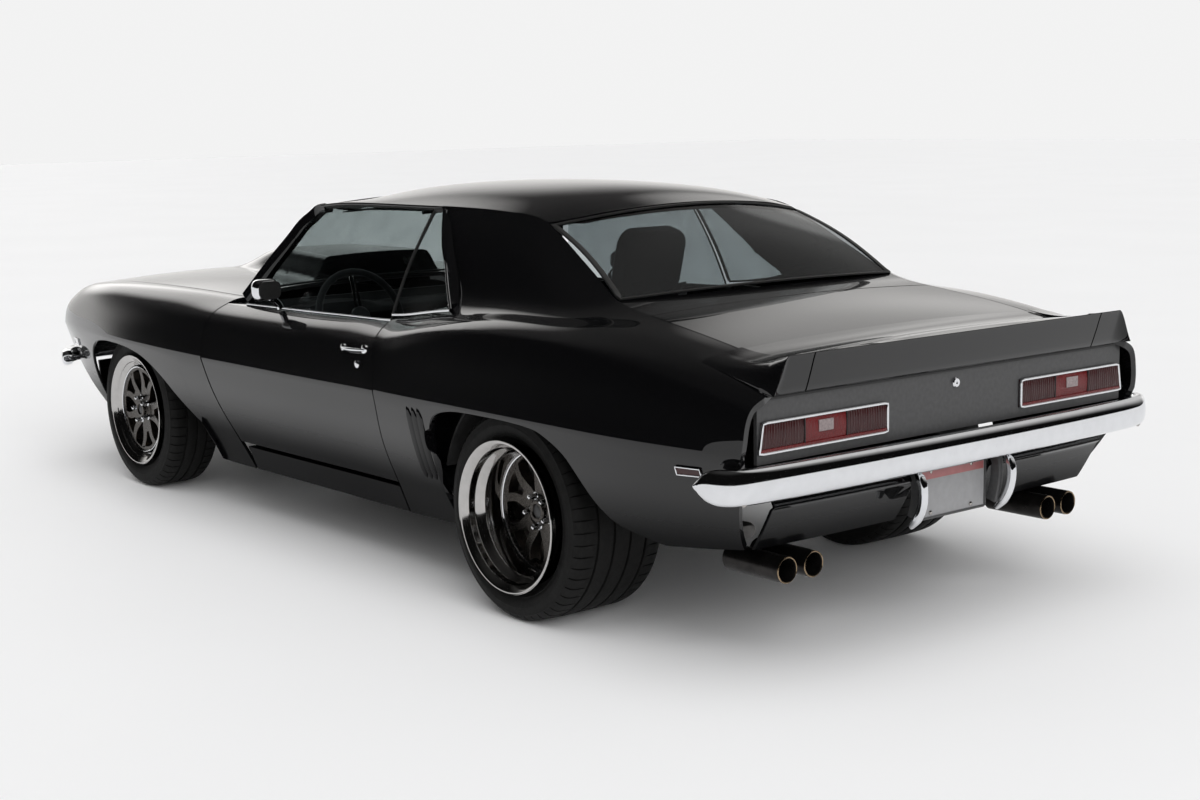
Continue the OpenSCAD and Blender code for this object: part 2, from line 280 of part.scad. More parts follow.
module rear_valance() { color([0.02,0.02,0.02]) difference() {
  slabr([for(i=[0:3]) [for(j=[0:14]) let(y=(j/7-1)*712, e=1-pow(y/712,4)) [lerp(-2276,-2196,i/3)-14*e,y,lerp(506,352,i/3)]]],
        [for(i=[0:3]) [for(j=[0:14]) let(y=(j/7-1)*712, e=1-pow(y/712,4)) [lerp(-2276,-2196,i/3)-14*e+16,y,lerp(506,352,i/3)]]]);
  box(-2400,-2100,-165,165,300,520);
} }
module licence_plate() { color([0.85,0.85,0.87]) { difference() {
  box(-2276,-2274,-152.5,152.5,356,508);
  for(y=[-88.9,88.9]) for(z=[371.7,492.3]) translate([-2280,y,z]) rotate([0,90,0]) cylinder(r=3.5,h=10);
} 
difference() { box(-2274,-2262,-160,160,350,496); for(y=[-88.9,88.9]) for(z=[371.7,492.3]) translate([-2290,y,z]) rotate([0,90,0]) cylinder(r=3.5,h=40); }
} }
module side_markers() { color([0.7,0.7,0.72]) both() {
  slab([for(t=[2.36,2.66]) [for(x=[-2160,-2120,-2078]) surf(x,t,2)+[0,5,0]]],[for(t=[2.36,2.66]) [for(x=[-2160,-2120,-2078]) surf(x,t,2)+[0,1,0]]]);
  slab([for(t=[2.36,2.66]) [for(x=[1960,2000,2045]) surf(x,t,1)+[1,5,0]]],[for(t=[2.36,2.66]) [for(x=[1960,2000,2045]) surf(x,t,1)+[0.4,1,0]]]);
} }
module exhaust() { color([0.15,0.14,0.13]) both() {
  box(-1960,-1720,470,660,306,352);
  xcyl(440,222,28,-760,600);
  box(-880,-760,380,520,194,252);
} }
module exhaust_tips() { color([0.15,0.14,0.13]) both() for(y=[518,620]) difference() { xcyl(y,286,38,-2230,-2010.2); xcyl(y,286,34,-2240,-2000); } }
module rear_axle() { color([0.12,0.12,0.12]) union() {
  ycyl(wb_r,326,40,-478,478);
  translate([wb_r,0,326]) sphere(r=115);
  both() { ycyl(wb_r,326,20,470,770); box(-1680,-960,440,470,268,286); box(-1350,-1276,436,474,280,300); }
  xcyl(0,300,34,-1240,600);
}}
module control_arms() { color([0.12,0.12,0.12]) union() { both() {
  box(1400,1460,400,668,198,222);
  box(1408,1452,422,668,434,454);
  translate([wb_f,640,222]) cylinder(r=12,h=212);
} } }
module knuckle() { color([0.3,0.3,0.3]) union() {
  difference() { translate([wb_f,640,230]) cylinder(r=26,h=196); translate([wb_f,640,200]) cylinder(r=12.05,h=260); }
  difference() { ycyl(wb_f,tyre_r_front,44,630,676); translate([wb_f,640,200]) cylinder(r=20,h=260); }
  ycyl(wb_f,tyre_r_front,20,670,770);
  difference() { box(1268,1330,652,728,276,380); box(1200,1400,679,711,200,480); }
  box(1300,1400,652,670,300,350);
} }
module dashboard() { color([0.03,0.03,0.03]) union() {
  box(430,590,-690,690,640,800);
  translate([430,380,740]) rotate([0,-72,0]) cylinder(r=24,h=10);
  translate([432,380,720]) rotate([0,-70,0]) cylinder(r=22,h=120);
}}
SWC = [300,380,764];
module steering_wheel() { color([0.03,0.03,0.03]) translate([300,380,768]) rotate([0,-70,0]) union() {
  rotate_extrude($fn=72) translate([178,0]) circle(r=14,$fn=24);
  for(a=[0,120,240]) rotate([0,0,a]) translate([20,-14,-3]) cube([150,28,6]);
  translate([0,0,-8]) cylinder(r=40,h=22);
} }
module bucket(y0) { translate([-130,y0,0]) {
  box(-170,330,-190,190,300,396); box(-140,300,-150,150,272,300);
  box(-160,300,-250,-194,330,470); box(-160,300,194,250,330,470);
  translate([-180,0,404]) rotate([0,-15,0]) { 
    difference() { linear_extrude(height=1) square(1); translate([-1,-1,-1]) cube(4); }
    box(-90,-10,-190,190,0,480);
    difference() { box(-92,-10,-140,140,484,720); for(s=[-1,1]) box(-100,0,s*70-38,s*70+38,520,566); }
    for(s=[-1,1]) box(-10,70,s*215-22,s*215+22,60,520);
  } } }
module front_seats() { color([0.05,0.05,0.05]) both() bucket(370); }
module rear_seat() { color([0.05,0.05,0.05]) union() {
  box(-896,-780,-470,470,350,520);
  box(-1186,-896,-470,470,474,520);
  translate([-1192,0,512]) rotate([0,-18,0]) box(-110,0,-470,470,0,370);
  box(-1500,-1340,-480,480,880,896);
} }
module rocker_panels() { color([0.02,0.02,0.02]) both()
  slab([for(t=[0,0.35,0.7,0.93]) [for(j=[0:10]) surf(lerp(-606,452,j/10),t,0)]],
       [for(t=[0,0.35,0.7,0.93]) [for(j=[0:10]) let(p=surf(lerp(-606,452,j/10),t,0)) [p[0],646,p[2]]]]); }
module spoiler_ends() { color([0.02,0.02,0.02]) both() spoiler([628,650,680,706,728,744,760,774]); }
module hood() { color([0.02,0.02,0.02]) hood_skin(); }
module trunk_lid() { color([0.02,0.02,0.02]) { lid_skin(); spoiler([-618,-500,-350,-180,0,180,350,500,618]); } }
module door_left() { color([0.02,0.02,0.02]) door_body(); }
module door_glass_left() { color([0.3,0.35,0.36,0.5]) door_glass_l(); }
module door_right() { color([0.02,0.02,0.02]) mirror([0,1,0]) door_body(); }
module door_glass_right() { color([0.3,0.35,0.36,0.5]) mirror([0,1,0]) door_glass_l(); }
module knuckle_left() knuckle();
module knuckle_right() mirror([0,1,0]) knuckle();
// wheels: rim, five open spokes, hub and brake disc; c is the wheel centre plane, w half the rim's width
module wheel(r,c,w,off,hubin,discy) { color([0.75,0.75,0.77]) translate([0,c,0]) union() {
  turned([[r-2,w],[r,w-6],[r-6,w-12],[r-16,w-22],[r-26,w-46],[r-30,0],[r-18,-w+24],[r-2,-w+4],[r-2,-w],[r-12,-w],[r-28,-w+22],[r-42,-8],[r-42,off+12],[r-37,off+14],[r-35,w-34],[r-24,w-20],[r-14,w-10],[r-10,w]]);
  difference() {
    turned([[20.05,off-26],[62,off-26],[r-41,off-4],[r-41,off+10],[150,off+6],[66,off-2],[58,off+8],[20.05,off+8]]);
    for(a=[0:4]) rotate([0,a*72,0]) translate([0,off-60,128]) rotate([-90,0,0]) cylinder(r=30,h=120);
    for(a=[0:4]) rotate([0,a*72+36,0]) translate([0,off-60,142]) rotate([-90,0,0]) cylinder(r=44,h=120);
  }
  turned([[20.05,discy-10],[150,discy-10],[150,discy+10],[60,discy+10],[60,off-26],[20.05,off-26]]);
} }
module tyre(R,r,c,w) { color([0.03,0.03,0.03]) translate([0,c,0])
  turned([[r+0.5,w-20],[r+14,w-4],[r+40,w+6],[R-34,w+4],[R-14,w-6],[R-4,w-22],[R,w-48],[R,-w+48],[R-4,-w+22],[R-14,-w+6],[R-34,-w-4],[r+40,-w-6],[r+14,-w+4],[r+0.5,-w+20],[r-14,-w+24],[r-24,0],[r-14,w-34]]); }
module at(x,z) { translate([x,0,z]) children(); }
module wheel_front_left() at(wb_f,tyre_r_front) wheel(230,685,122,76,0,10);
module wheel_front_right() mirror([0,1,0]) at(wb_f,tyre_r_front) wheel(230,685,122,76,0,10);
module wheel_rear_left() at(wb_r,tyre_r_rear) wheel(235,712,190,44,0,-120);
module wheel_rear_right() mirror([0,1,0]) at(wb_r,tyre_r_rear) wheel(235,712,190,44,0,-120);
module tyre_front_left() at(wb_f,tyre_r_front) tyre(tyre_r_front,232,685,108);
module tyre_front_right() mirror([0,1,0]) at(wb_f,tyre_r_front) tyre(tyre_r_front,232,685,108);
module tyre_rear_left() at(wb_r,tyre_r_rear) tyre(tyre_r_rear,237,706,168);
module tyre_rear_right() mirror([0,1,0]) at(wb_r,tyre_r_rear) tyre(tyre_r_rear,237,706,168);

floor_pan();
front_frame();
engine_block();
cowl_and_firewall();
front_fenders();
nose_panel();
grille();
headlamps();
front_bumper();
windshield();
roof();
quarter_panels();
sail_panels();
quarter_glass();
rear_glass();
deck_panel();
tail_panel();
taillights();
rear_bumper();
rear_valance();
licence_plate();
side_markers();
exhaust();
exhaust_tips();
rear_axle();
control_arms();
dashboard();
front_seats();
rear_seat();
rocker_panels();
spoiler_ends();
steering_wheel();
hood();
trunk_lid();
door_left();
door_glass_left();
door_right();
door_glass_right();
knuckle_left();
knuckle_right();
wheel_front_left();
wheel_front_right();
wheel_rear_left();
wheel_rear_right();
tyre_front_left();
tyre_front_right();
tyre_rear_left();
tyre_rear_right();
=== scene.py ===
import math
import bpy
import numpy as np
from mathutils import Vector, Matrix


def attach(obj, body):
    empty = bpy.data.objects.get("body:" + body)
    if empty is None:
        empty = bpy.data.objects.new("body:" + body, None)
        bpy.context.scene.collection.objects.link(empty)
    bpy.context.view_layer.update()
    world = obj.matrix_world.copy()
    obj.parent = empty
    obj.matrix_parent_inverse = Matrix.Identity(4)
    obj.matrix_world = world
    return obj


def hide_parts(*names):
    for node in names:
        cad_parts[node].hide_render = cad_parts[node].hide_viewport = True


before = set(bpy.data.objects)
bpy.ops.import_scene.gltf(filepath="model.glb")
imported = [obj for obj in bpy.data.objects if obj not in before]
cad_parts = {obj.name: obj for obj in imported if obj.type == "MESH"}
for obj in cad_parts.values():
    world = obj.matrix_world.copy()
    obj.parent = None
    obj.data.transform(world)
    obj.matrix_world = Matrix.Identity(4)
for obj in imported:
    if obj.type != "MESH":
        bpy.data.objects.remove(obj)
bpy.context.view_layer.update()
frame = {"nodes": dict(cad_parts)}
N = frame["nodes"]

# ---- the body's long lines, the same tables as the CAD
Y0 = [[-2330,690],[-2150,722],[-1900,772],[-1600,800],[-1313,805],[-900,790],[-600,776],[0,768],[600,770],[900,775],[1430,762],[1800,705],[2100,630],[2330,545]];
Z0 = [[-2330,372],[-2150,345],[-1900,322],[-1600,290],[-1313,250],[-900,222],[-600,212],[0,208],[600,208],[900,212],[1430,225],[1800,245],[2100,262],[2330,280]];
Y1 = [[-2330,745],[-2150,785],[-1900,838],[-1600,862],[-1313,864],[-900,840],[-600,816],[0,808],[600,812],[900,822],[1430,818],[1800,765],[2100,692],[2330,610]];
Z1 = [[-2330,440],[-2150,415],[-1900,390],[-1600,365],[-1313,340],[-900,320],[-600,312],[0,308],[600,308],[900,312],[1430,325],[1800,345],[2100,360],[2330,375]];
Y2 = [[-2330,808],[-2150,848],[-1900,892],[-1600,912],[-1313,916],[-900,900],[-600,885],[0,880],[600,884],[900,889],[1430,872],[1800,822],[2100,752],[2330,675]];
Z2 = [[-2330,540],[-2150,525],[-1900,510],[-1600,500],[-1313,492],[-900,480],[-600,475],[0,472],[600,472],[900,474],[1430,480],[1800,492],[2100,500],[2330,505]];
Y3 = [[-2330,852],[-2150,890],[-1900,922],[-1600,937],[-1313,940],[-900,932],[-600,924],[-300,920],[0,919],[300,920],[600,924],[900,926],[1150,920],[1430,902],[1700,864],[1900,828],[2100,784],[2250,742],[2330,715]];
Z3 = [[-2330,632],[-1900,638],[-1313,640],[-600,636],[0,634],[600,636],[1150,638],[1430,638],[1800,634],[2100,630],[2330,625]];
Y4 = [[-2330,846],[-2150,880],[-1900,905],[-1600,919],[-1313,923],[-900,914],[-600,904],[-300,898],[0,896],[300,896],[600,898],[900,902],[1150,898],[1430,882],[1700,848],[1900,812],[2100,770],[2250,728],[2330,700]];
Z4 = [[-2330,705],[-1900,735],[-1313,745],[-600,733],[0,726],[600,726],[1430,725],[1900,712],[2330,690]];
Y5 = [[-2330,825],[-2150,852],[-1900,872],[-1600,884],[-1313,886],[-1050,882],[-800,872],[-600,862],[-300,856],[0,854],[300,854],[600,857],[900,862],[1150,860],[1430,846],[1700,820],[1900,787],[2100,744],[2250,702],[2330,674]];
Z5 = [[-2330,758],[-2150,800],[-1900,842],[-1600,868],[-1313,874],[-1050,866],[-800,838],[-600,808],[-300,796],[0,792],[300,790],[600,790],[900,792],[1150,792],[1430,788],[1700,780],[1900,768],[2100,750],[2330,722]];
Y6 = [[-2330,785],[-2150,808],[-1900,822],[-1600,828],[-1313,826],[-1050,815],[-800,800],[-600,785],[-300,775],[0,772],[300,772],[600,778],[900,795],[1150,799],[1430,789],[1700,766],[1900,735],[2100,695],[2250,656],[2330,628]];
Z6 = [[-2330,782],[-2150,824],[-1900,870],[-1600,900],[-1313,910],[-1050,904],[-800,880],[-600,854],[-300,842],[0,836],[300,832],[600,830],[900,836],[1150,838],[1430,836],[1700,828],[1900,816],[2100,794],[2250,765],[2330,745]];
YF7 = [[300,735],[600,736],[900,748],[1430,744],[1900,697],[2100,662],[2330,597]];
ZF7 = [[300,842],[600,843],[900,850],[1430,848],[1900,826],[2100,804],[2330,757]];
YF8 = [[300,690],[600,692],[900,700],[1430,700],[1900,660],[2100,628],[2330,565]];
ZF8 = [[300,846],[600,847],[900,853],[1430,851],[1900,829],[2100,807],[2330,760]];
YR7 = [[-2330,740],[-2150,760],[-1900,770],[-1700,768],[-1500,762],[-1313,760],[-1050,758],[-900,752],[-700,742],[-440,735]];
ZR7 = [[-2330,797],[-2150,840],[-1900,886],[-1700,910],[-1500,922],[-1313,930],[-1050,936],[-900,934],[-700,905],[-440,860]];
YR8 = [[-2330,690],[-2150,705],[-1900,710],[-1700,704],[-1500,690],[-1300,678],[-1087,664],[-900,664],[-700,666],[-440,670]];
ZR8 = [[-2330,805],[-2150,849],[-1900,896],[-1700,920],[-1500,942],[-1300,998],[-1087,1052],[-900,1072],[-700,1070],[-440,1050]];
YR9 = [[-2330,622],[-2150,628],[-1900,626],[-1700,612],[-1600,604],[-1506,597],[-1400,582],[-1300,567],[-1200,552],[-1087,540],[-900,548],[-700,560],[-440,574]];
ZR9 = [[-2330,812],[-2150,857],[-1900,904],[-1700,932],[-1600,946],[-1506,969],[-1400,1024],[-1300,1078],[-1200,1132],[-1087,1187],[-900,1212],[-700,1220],[-440,1222]];
YT9 = [[-1140,536],[-1087,540],[-900,548],[-700,560],[-440,574],[-100,582],[150,580],[290,572]];
ZT9 = [[-1140,1172],[-1087,1187],[-900,1212],[-700,1220],[-440,1222],[-100,1222],[150,1212],[290,1196]];
ZT12 = [[-1180,1226],[-1100,1246],[-950,1270],[-750,1284],[-500,1288],[-200,1282],[50,1266],[200,1248],[320,1226]];
DFT = [[0,460],[1,490],[2,530],[3,570],[4,590],[5,600],[6,608],[8,612]];
DRT = [[0,-612],[1,-614],[2,-625],[3,-638],[4,-612],[5,-570],[6,-528]];
RRT = [[0,-2165],[1,-2205],[2,-2260],[3,-2298],[4,-2306],[5,-2310],[9,-2312]];
FC = [[465,0,575,613],[540,0,630,670],[615,0,690,730],[690,0,750,790],[705,1.0,805,850],[775,1.4,855,900],[860,1.85,905,950],[950,2.3,965,1000],[1050,2.62,1035,1060],[1150,2.80,1115,1130],[1280,2.90,1210,1210],[1360,2.92,1310,1300],[1450,2.92,1420,1410],[1560,2.88,1540,1520],[1650,2.76,1630,1610],[1715,2.50,1700,1690],[1748,2.15,1750,1750],[1765,1.7,1790,1800],[1773,1.2,1825,1850],[1777,0.6,1860,1900],[1780,0,1900,1950],[1850,0,1955,2010],[1940,0,2020,2075],[2030,0,2100,2150],[2110,0,2252,2258]];
QC = [[-616,0,-642],[-700,0,-700],[-790,0,-770],[-880,0,-840],[-938,0,-890],[-934,0.7,-915],[-932,1.4,-935],[-938,2.0,-955],[-952,2.45,-985],[-985,2.74,-1030],[-1040,2.88,-1090],[-1120,2.95,-1160],[-1220,2.97,-1240],[-1330,2.97,-1330],[-1430,2.95,-1420],[-1510,2.90,-1500],[-1580,2.72,-1570],[-1640,2.45,-1640],[-1690,2.0,-1700],[-1740,1.45,-1760],[-1800,0.85,-1820],[-1860,0.35,-1880],[-1910,0,-1940],[-1980,0,-2020],[-2050,0,-2110],[-2110,0,-2210],[-2165,0,-2298]];
SC = [[-532,-536,6.2],[-600,-604,6.36],[-700,-706,6.56],[-800,-810,6.74],[-870,-900,6.9],[-905,-858,7.3],[-935,-796,7.75],[-965,-728,8.2],[-995,-650,8.65],[-1025,-556,9],[-1060,-640,9],[-1100,-740,9],[-1150,-850,9],[-1210,-960,9],[-1270,-1040,9],[-1320,-1100,9],[-1370,-1190,9],[-1420,-1290,9],[-1480,-1390,9],[-1540,-1480,9],[-1620,-1580,9],[-1720,-1690,9],[-1820,-1800,9],[-1930,-1920,9],[-2040,-2030,9],[-2140,-2130,9],[-2220,-2210,9],[-2282,-2282,9]];

# ---- smooth curves and surfaces
def nat(u, v):
    n, K = u.shape
    m = np.zeros((n, K))
    if K < 3:
        return m
    cp = np.zeros(n); dp = np.zeros(n); C = []; D = []
    for i in range(1, K-1):
        a = u[:, i]-u[:, i-1]; c = u[:, i+1]-u[:, i]; b = 2*(a+c)
        d = 6*((v[:, i+1]-v[:, i])/c-(v[:, i]-v[:, i-1])/a)
        den = b-a*cp
        dp = (d-a*dp)/den; cp = c/den
        C.append(cp); D.append(dp)
    nx = np.zeros(n)
    for i in range(K-2, 0, -1):
        nx = D[i-1]-C[i-1]*nx
        m[:, i] = nx
    return m

def nev(u, v, m, w):
    n, K = u.shape
    i = np.clip((w[:, None] >= u[:, 1:-1]).sum(1), 0, K-2)
    r = np.arange(n)
    h = u[r, i+1]-u[r, i]; A = (u[r, i+1]-w)/h; B = 1-A
    return A*v[r, i]+B*v[r, i+1]+((A**3-A)*m[r, i]+(B**3-B)*m[r, i+1])*h*h/6

class Tab:
    def __init__(self, k):
        self.k = np.array(k, float)
        self.m = nat(self.k[None, :, 0], self.k[None, :, 1])[0]
    def __call__(self, x):
        x = np.asarray(x, float); s = x.shape
        x = np.clip(x.ravel(), self.k[0, 0], self.k[-1, 0])
        k, m = self.k, self.m
        i = np.clip(np.searchsorted(k[:, 0], x, side="right")-1, 0, len(k)-2)
        h = k[i+1, 0]-k[i, 0]; A = (k[i+1, 0]-x)/h; B = 1-A
        return (A*k[i, 1]+B*k[i+1, 1]+((A**3-A)*m[i]+(B**3-B)*m[i+1])*h*h/6).reshape(s)

def pch(xs, ys, x):
    xs = np.array(xs, float); ys = np.array(ys, float); h = np.diff(xs); d = np.diff(ys)/h
    m = np.zeros(len(xs)); m[0] = d[0]; m[-1] = d[-1]
    for i in range(1, len(xs)-1):
        if d[i-1]*d[i] > 0:
            w1 = 2*h[i]+h[i-1]; w2 = h[i]+2*h[i-1]
            m[i] = (w1+w2)/(w1/d[i-1]+w2/d[i])
    x = np.asarray(x, float)
    i = np.clip(np.searchsorted(xs, x, side="right")-1, 0, len(xs)-2)
    s = (x-xs[i])/h[i]
    return (2*s**3-3*s*s+1)*ys[i]+(s**3-2*s*s+s)*h[i]*m[i]+(-2*s**3+3*s*s)*ys[i+1]+(s**3-s*s)*h[i]*m[i+1]

SIDE = [(Tab(a), Tab(b)) for a, b in ((Y0, Z0), (Y1, Z1), (Y2, Z2), (Y3, Z3), (Y4, Z4), (Y5, Z5), (Y6, Z6))]
FRO = [(Tab(YF7), Tab(ZF7)), (Tab(YF8), Tab(ZF8))]
REA = [(Tab(YR7), Tab(ZR7)), (Tab(YR8), Tab(ZR8)), (Tab(YR9), Tab(ZR9))]
TY9, TZ9, TZ12 = Tab(YT9), Tab(ZT9), Tab(ZT12)
DF, DR, RR = Tab(DFT), Tab(DRT), Tab(RRT)

def surf(X, T, zone):
    X = np.asarray(X, float); T = np.asarray(T, float)
    X, T = np.broadcast_arrays(X, T); s = X.shape
    x = X.ravel(); t = T.ravel()
    L = SIDE+(FRO if zone == 1 else REA if zone == 2 else [])
    P = np.stack([np.stack([a(x), b(x)], -1) for a, b in L], 1)
    out = np.zeros((len(x), 3)); out[:, 0] = x
    for lo, hi, msk in ((0, 4, t < 3), (3, len(L), t >= 3)):
        if not msk.any():
            continue
        Q = P[msk][:, lo:hi]; q = t[msk]-lo
        u = np.concatenate([np.zeros((len(Q), 1)), np.cumsum(np.linalg.norm(np.diff(Q, axis=1), axis=2), 1)], 1)
        i = np.clip(np.floor(q).astype(int), 0, hi-lo-2); r = np.arange(len(Q))
        w = u[r, i]+(q-i)*(u[r, i+1]-u[r, i])
        for c in (0, 1):
            v = Q[:, :, c]
            out[msk, 1+c] = nev(u, v, nat(u, v), w)
    return out.reshape(s+(3,))

def spline3(P, n):
    P = np.array(P, float)
    u = np.concatenate([[0], np.cumsum(np.linalg.norm(np.diff(P, axis=0), axis=1))])
    w = np.linspace(0, u[-1], n)
    return np.stack([nev(np.repeat(u[None], n, 0), np.repeat(P[None, :, c], n, 0), np.repeat(nat(u[None], P[None, :, c]), n, 0), w) for c in range(P.shape[1])], 1)

def smooth(a, b, x):
    s = np.clip((np.asarray(x, float)-a)/(b-a), 0, 1)
    return s*s*(3-2*s)

# ---- mesh helpers, millimetres in, metres out
def make(name, V, F, mat, body=None, rep=(), bevel=0, smoothit=True, angle=38, seg=3, slot=None):
    me = bpy.data.meshes.new(name)
    me.from_pydata((np.asarray(V, float)/1000).tolist(), [], [list(map(int, f)) for f in F])
    me.validate(); me.update()
    ob = bpy.data.objects.new(name, me)
    bpy.context.scene.collection.objects.link(ob)
    me.materials.append(mat)
    if smoothit:
        me.polygons.foreach_set("use_smooth", [True]*len(me.polygons))
        me.set_sharp_from_angle(angle=math.radians(angle))
    if bevel:
        b = ob.modifiers.new("edge", "BEVEL")
        b.width = bevel/1000; b.segments = min(seg, 2); b.limit_method = "ANGLE"; b.angle_limit = math.radians(50)
        b.harden_normals = True
    if body:
        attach(ob, body)
    if rep:
        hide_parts(*rep)
    return ob

def gnorm(G):
    di = np.zeros_like(G); dj = np.zeros_like(G)
    di[1:-1] = G[2:]-G[:-2]; di[0] = G[1]-G[0]; di[-1] = G[-1]-G[-2]
    dj[:, 1:-1] = G[:, 2:]-G[:, :-2]; dj[:, 0] = G[:, 1]-G[:, 0]; dj[:, -1] = G[:, -1]-G[:, -2]
    n = np.cross(di, dj)
    return n/np.maximum(np.linalg.norm(n, axis=2, keepdims=True), 1e-9)

def gfaces(n, m, off=0, flip=False):
    i, j = np.meshgrid(np.arange(n-1), np.arange(m-1), indexing="ij")
    a = (i*m+j).ravel()+off
    F = np.stack([a, a+1, a+m+1, a+m], 1)
    return F[:, ::-1] if flip else F

def slabm(G, H):
    """closed shell between two grids; faces turned so that G faces out"""
    n, m = G.shape[:2]; o = n*m
    V = np.concatenate([G.reshape(-1, 3), H.reshape(-1, 3)])
    F = [gfaces(n, m), gfaces(n, m, o, True)]
    rim = []
    for j in range(m-1):
        rim.append([j, o+j, o+j+1, j+1]); k = (n-1)*m
        rim.append([k+j, k+j+1, o+k+j+1, o+k+j])
    for i in range(n-1):
        rim.append([i*m, (i+1)*m, o+(i+1)*m, o+i*m])
        rim.append([i*m+m-1, o+i*m+m-1, o+(i+1)*m+m-1, (i+1)*m+m-1])
    F = np.concatenate(F+[np.array(rim)])
    c = G.reshape(-1, 3).mean(0)-H.reshape(-1, 3).mean(0)
    nn = gnorm(G).reshape(-1, 3).mean(0)
    if (np.cross(G[n//2, m//2+1]-G[n//2, m//2], G[n//2+1, m//2]-G[n//2, m//2])*(G[n//2, m//2]-H[n//2, m//2])).sum() < 0:
        F = F[:, ::-1]
    return V, F

def shellfrom(G, th, ref):
    """th may be a number or an array; ref is a point on the inner side"""
    n = gnorm(G)
    if ((np.asarray(ref, float)-G[G.shape[0]//2, G.shape[1]//2])*n[G.shape[0]//2, G.shape[1]//2]).sum() < 0:
        n = -n
    return slabm(G, G+n*(np.asarray(th, float)[..., None] if np.ndim(th) else th))

def mir(V, F):
    V = np.array(V, float).copy(); V[:, 1] *= -1
    return V, [list(f)[::-1] for f in F]

def join(parts):
    VV, FF, o = [], [], 0
    for V, F in parts:
        V = np.asarray(V, float); VV.append(V); FF += [[int(i)+o for i in f] for f in F]; o += len(V)
    return np.concatenate(VV), FF

def tube(P, S, closed=False, up=(0, 0, 1), scale=None):
    """bar of section S ((right, up) pairs) swept along P"""
    P = np.array(P, float); S = np.array(S, float); n, m = len(P), len(S)
    d = np.zeros_like(P)
    if closed:
        d = np.roll(P, -1, 0)-np.roll(P, 1, 0)
    else:
        d[1:-1] = P[2:]-P[:-2]; d[0] = P[1]-P[0]; d[-1] = P[-1]-P[-2]
    d /= np.linalg.norm(d, axis=1, keepdims=True)
    r = np.cross(d, np.array(up, float)); r /= np.linalg.norm(r, axis=1, keepdims=True)
    u = np.cross(r, d)
    sc = np.ones(n) if scale is None else np.asarray(scale, float)
    V = (P[:, None]+(S[None, :, 0, None]*r[:, None]+S[None, :, 1, None]*u[:, None])*sc[:, None, None]).reshape(-1, 3)
    F = []
    for i in range(n if closed else n-1):
        a = i*m; b = ((i+1) % n)*m
        for j in range(m):
            k = (j+1) % m
            F.append([a+j, a+k, b+k, b+j])
    if not closed:
        F.append(list(range(m))[::-1]); F.append([(n-1)*m+j for j in range(m)])
    # orientation
    area = 0.5*sum(S[j][0]*S[(j+1) % m][1]-S[(j+1) % m][0]*S[j][1] for j in range(m))
    if area > 0:
        F = [f[::-1] for f in F]
    return V, F

def rnd(w, h, r, k=5):
    """rounded rectangle section"""
    out = []
    for cx, cy, a0 in ((w/2-r, h/2-r, 0), (-w/2+r, h/2-r, 90), (-w/2+r, -h/2+r, 180), (w/2-r, -h/2+r, 270)):
        for i in range(k+1):
            a = math.radians(a0+90*i/k); out.append((cx+r*math.cos(a), cy+r*math.sin(a)))
    return out

def circ(r, k=16):
    return [(r*math.cos(2*math.pi*i/k), r*math.sin(2*math.pi*i/k)) for i in range(k)]

def rev(prof, c, fn=96, closed=True, a0=0.0, a1=2*math.pi):
    """profile (radius, y) turned about the Y axis through c"""
    prof = np.array(prof, float); m = len(prof); full = abs(a1-a0-2*math.pi) < 1e-6
    fn = fn if fn < 40 else int(fn*0.76)
    A = np.linspace(a0, a1, fn, endpoint=not full)
    V = np.stack([np.stack([c[0]+prof[:, 0]*math.cos(a), c[1]+prof[:, 1], c[2]+prof[:, 0]*math.sin(a)], 1) for a in A]).reshape(-1, 3)
    F = []
    for i in range(fn if full else fn-1):
        a = i*m; b = ((i+1) % fn)*m
        for j in range(m if closed else m-1):
            k = (j+1) % m
            F.append([a+j, a+k, b+k, b+j])
    ar = sum(prof[j][0]*prof[(j+1) % m][1]-prof[(j+1) % m][0]*prof[j][1] for j in range(m))
    if ar < 0:
        F = [f[::-1] for f in F]
    return V, F

def boxm(x0, x1, y0, y1, z0, z1):
    V = [(x, y, z) for x in (x0, x1) for y in (y0, y1) for z in (z0, z1)]
    return np.array(V, float), [[0, 1, 3, 2], [4, 6, 7, 5], [0, 4, 5, 1], [2, 3, 7, 6], [0, 2, 6, 4], [1, 5, 7, 3]]

def xform(VF, R, t):
    V, F = VF
    return np.asarray(V, float)@np.array(R, float).T+np.array(t, float), F

def rotm(axis, deg):
    return np.array(Matrix.Rotation(math.radians(deg), 3, axis))

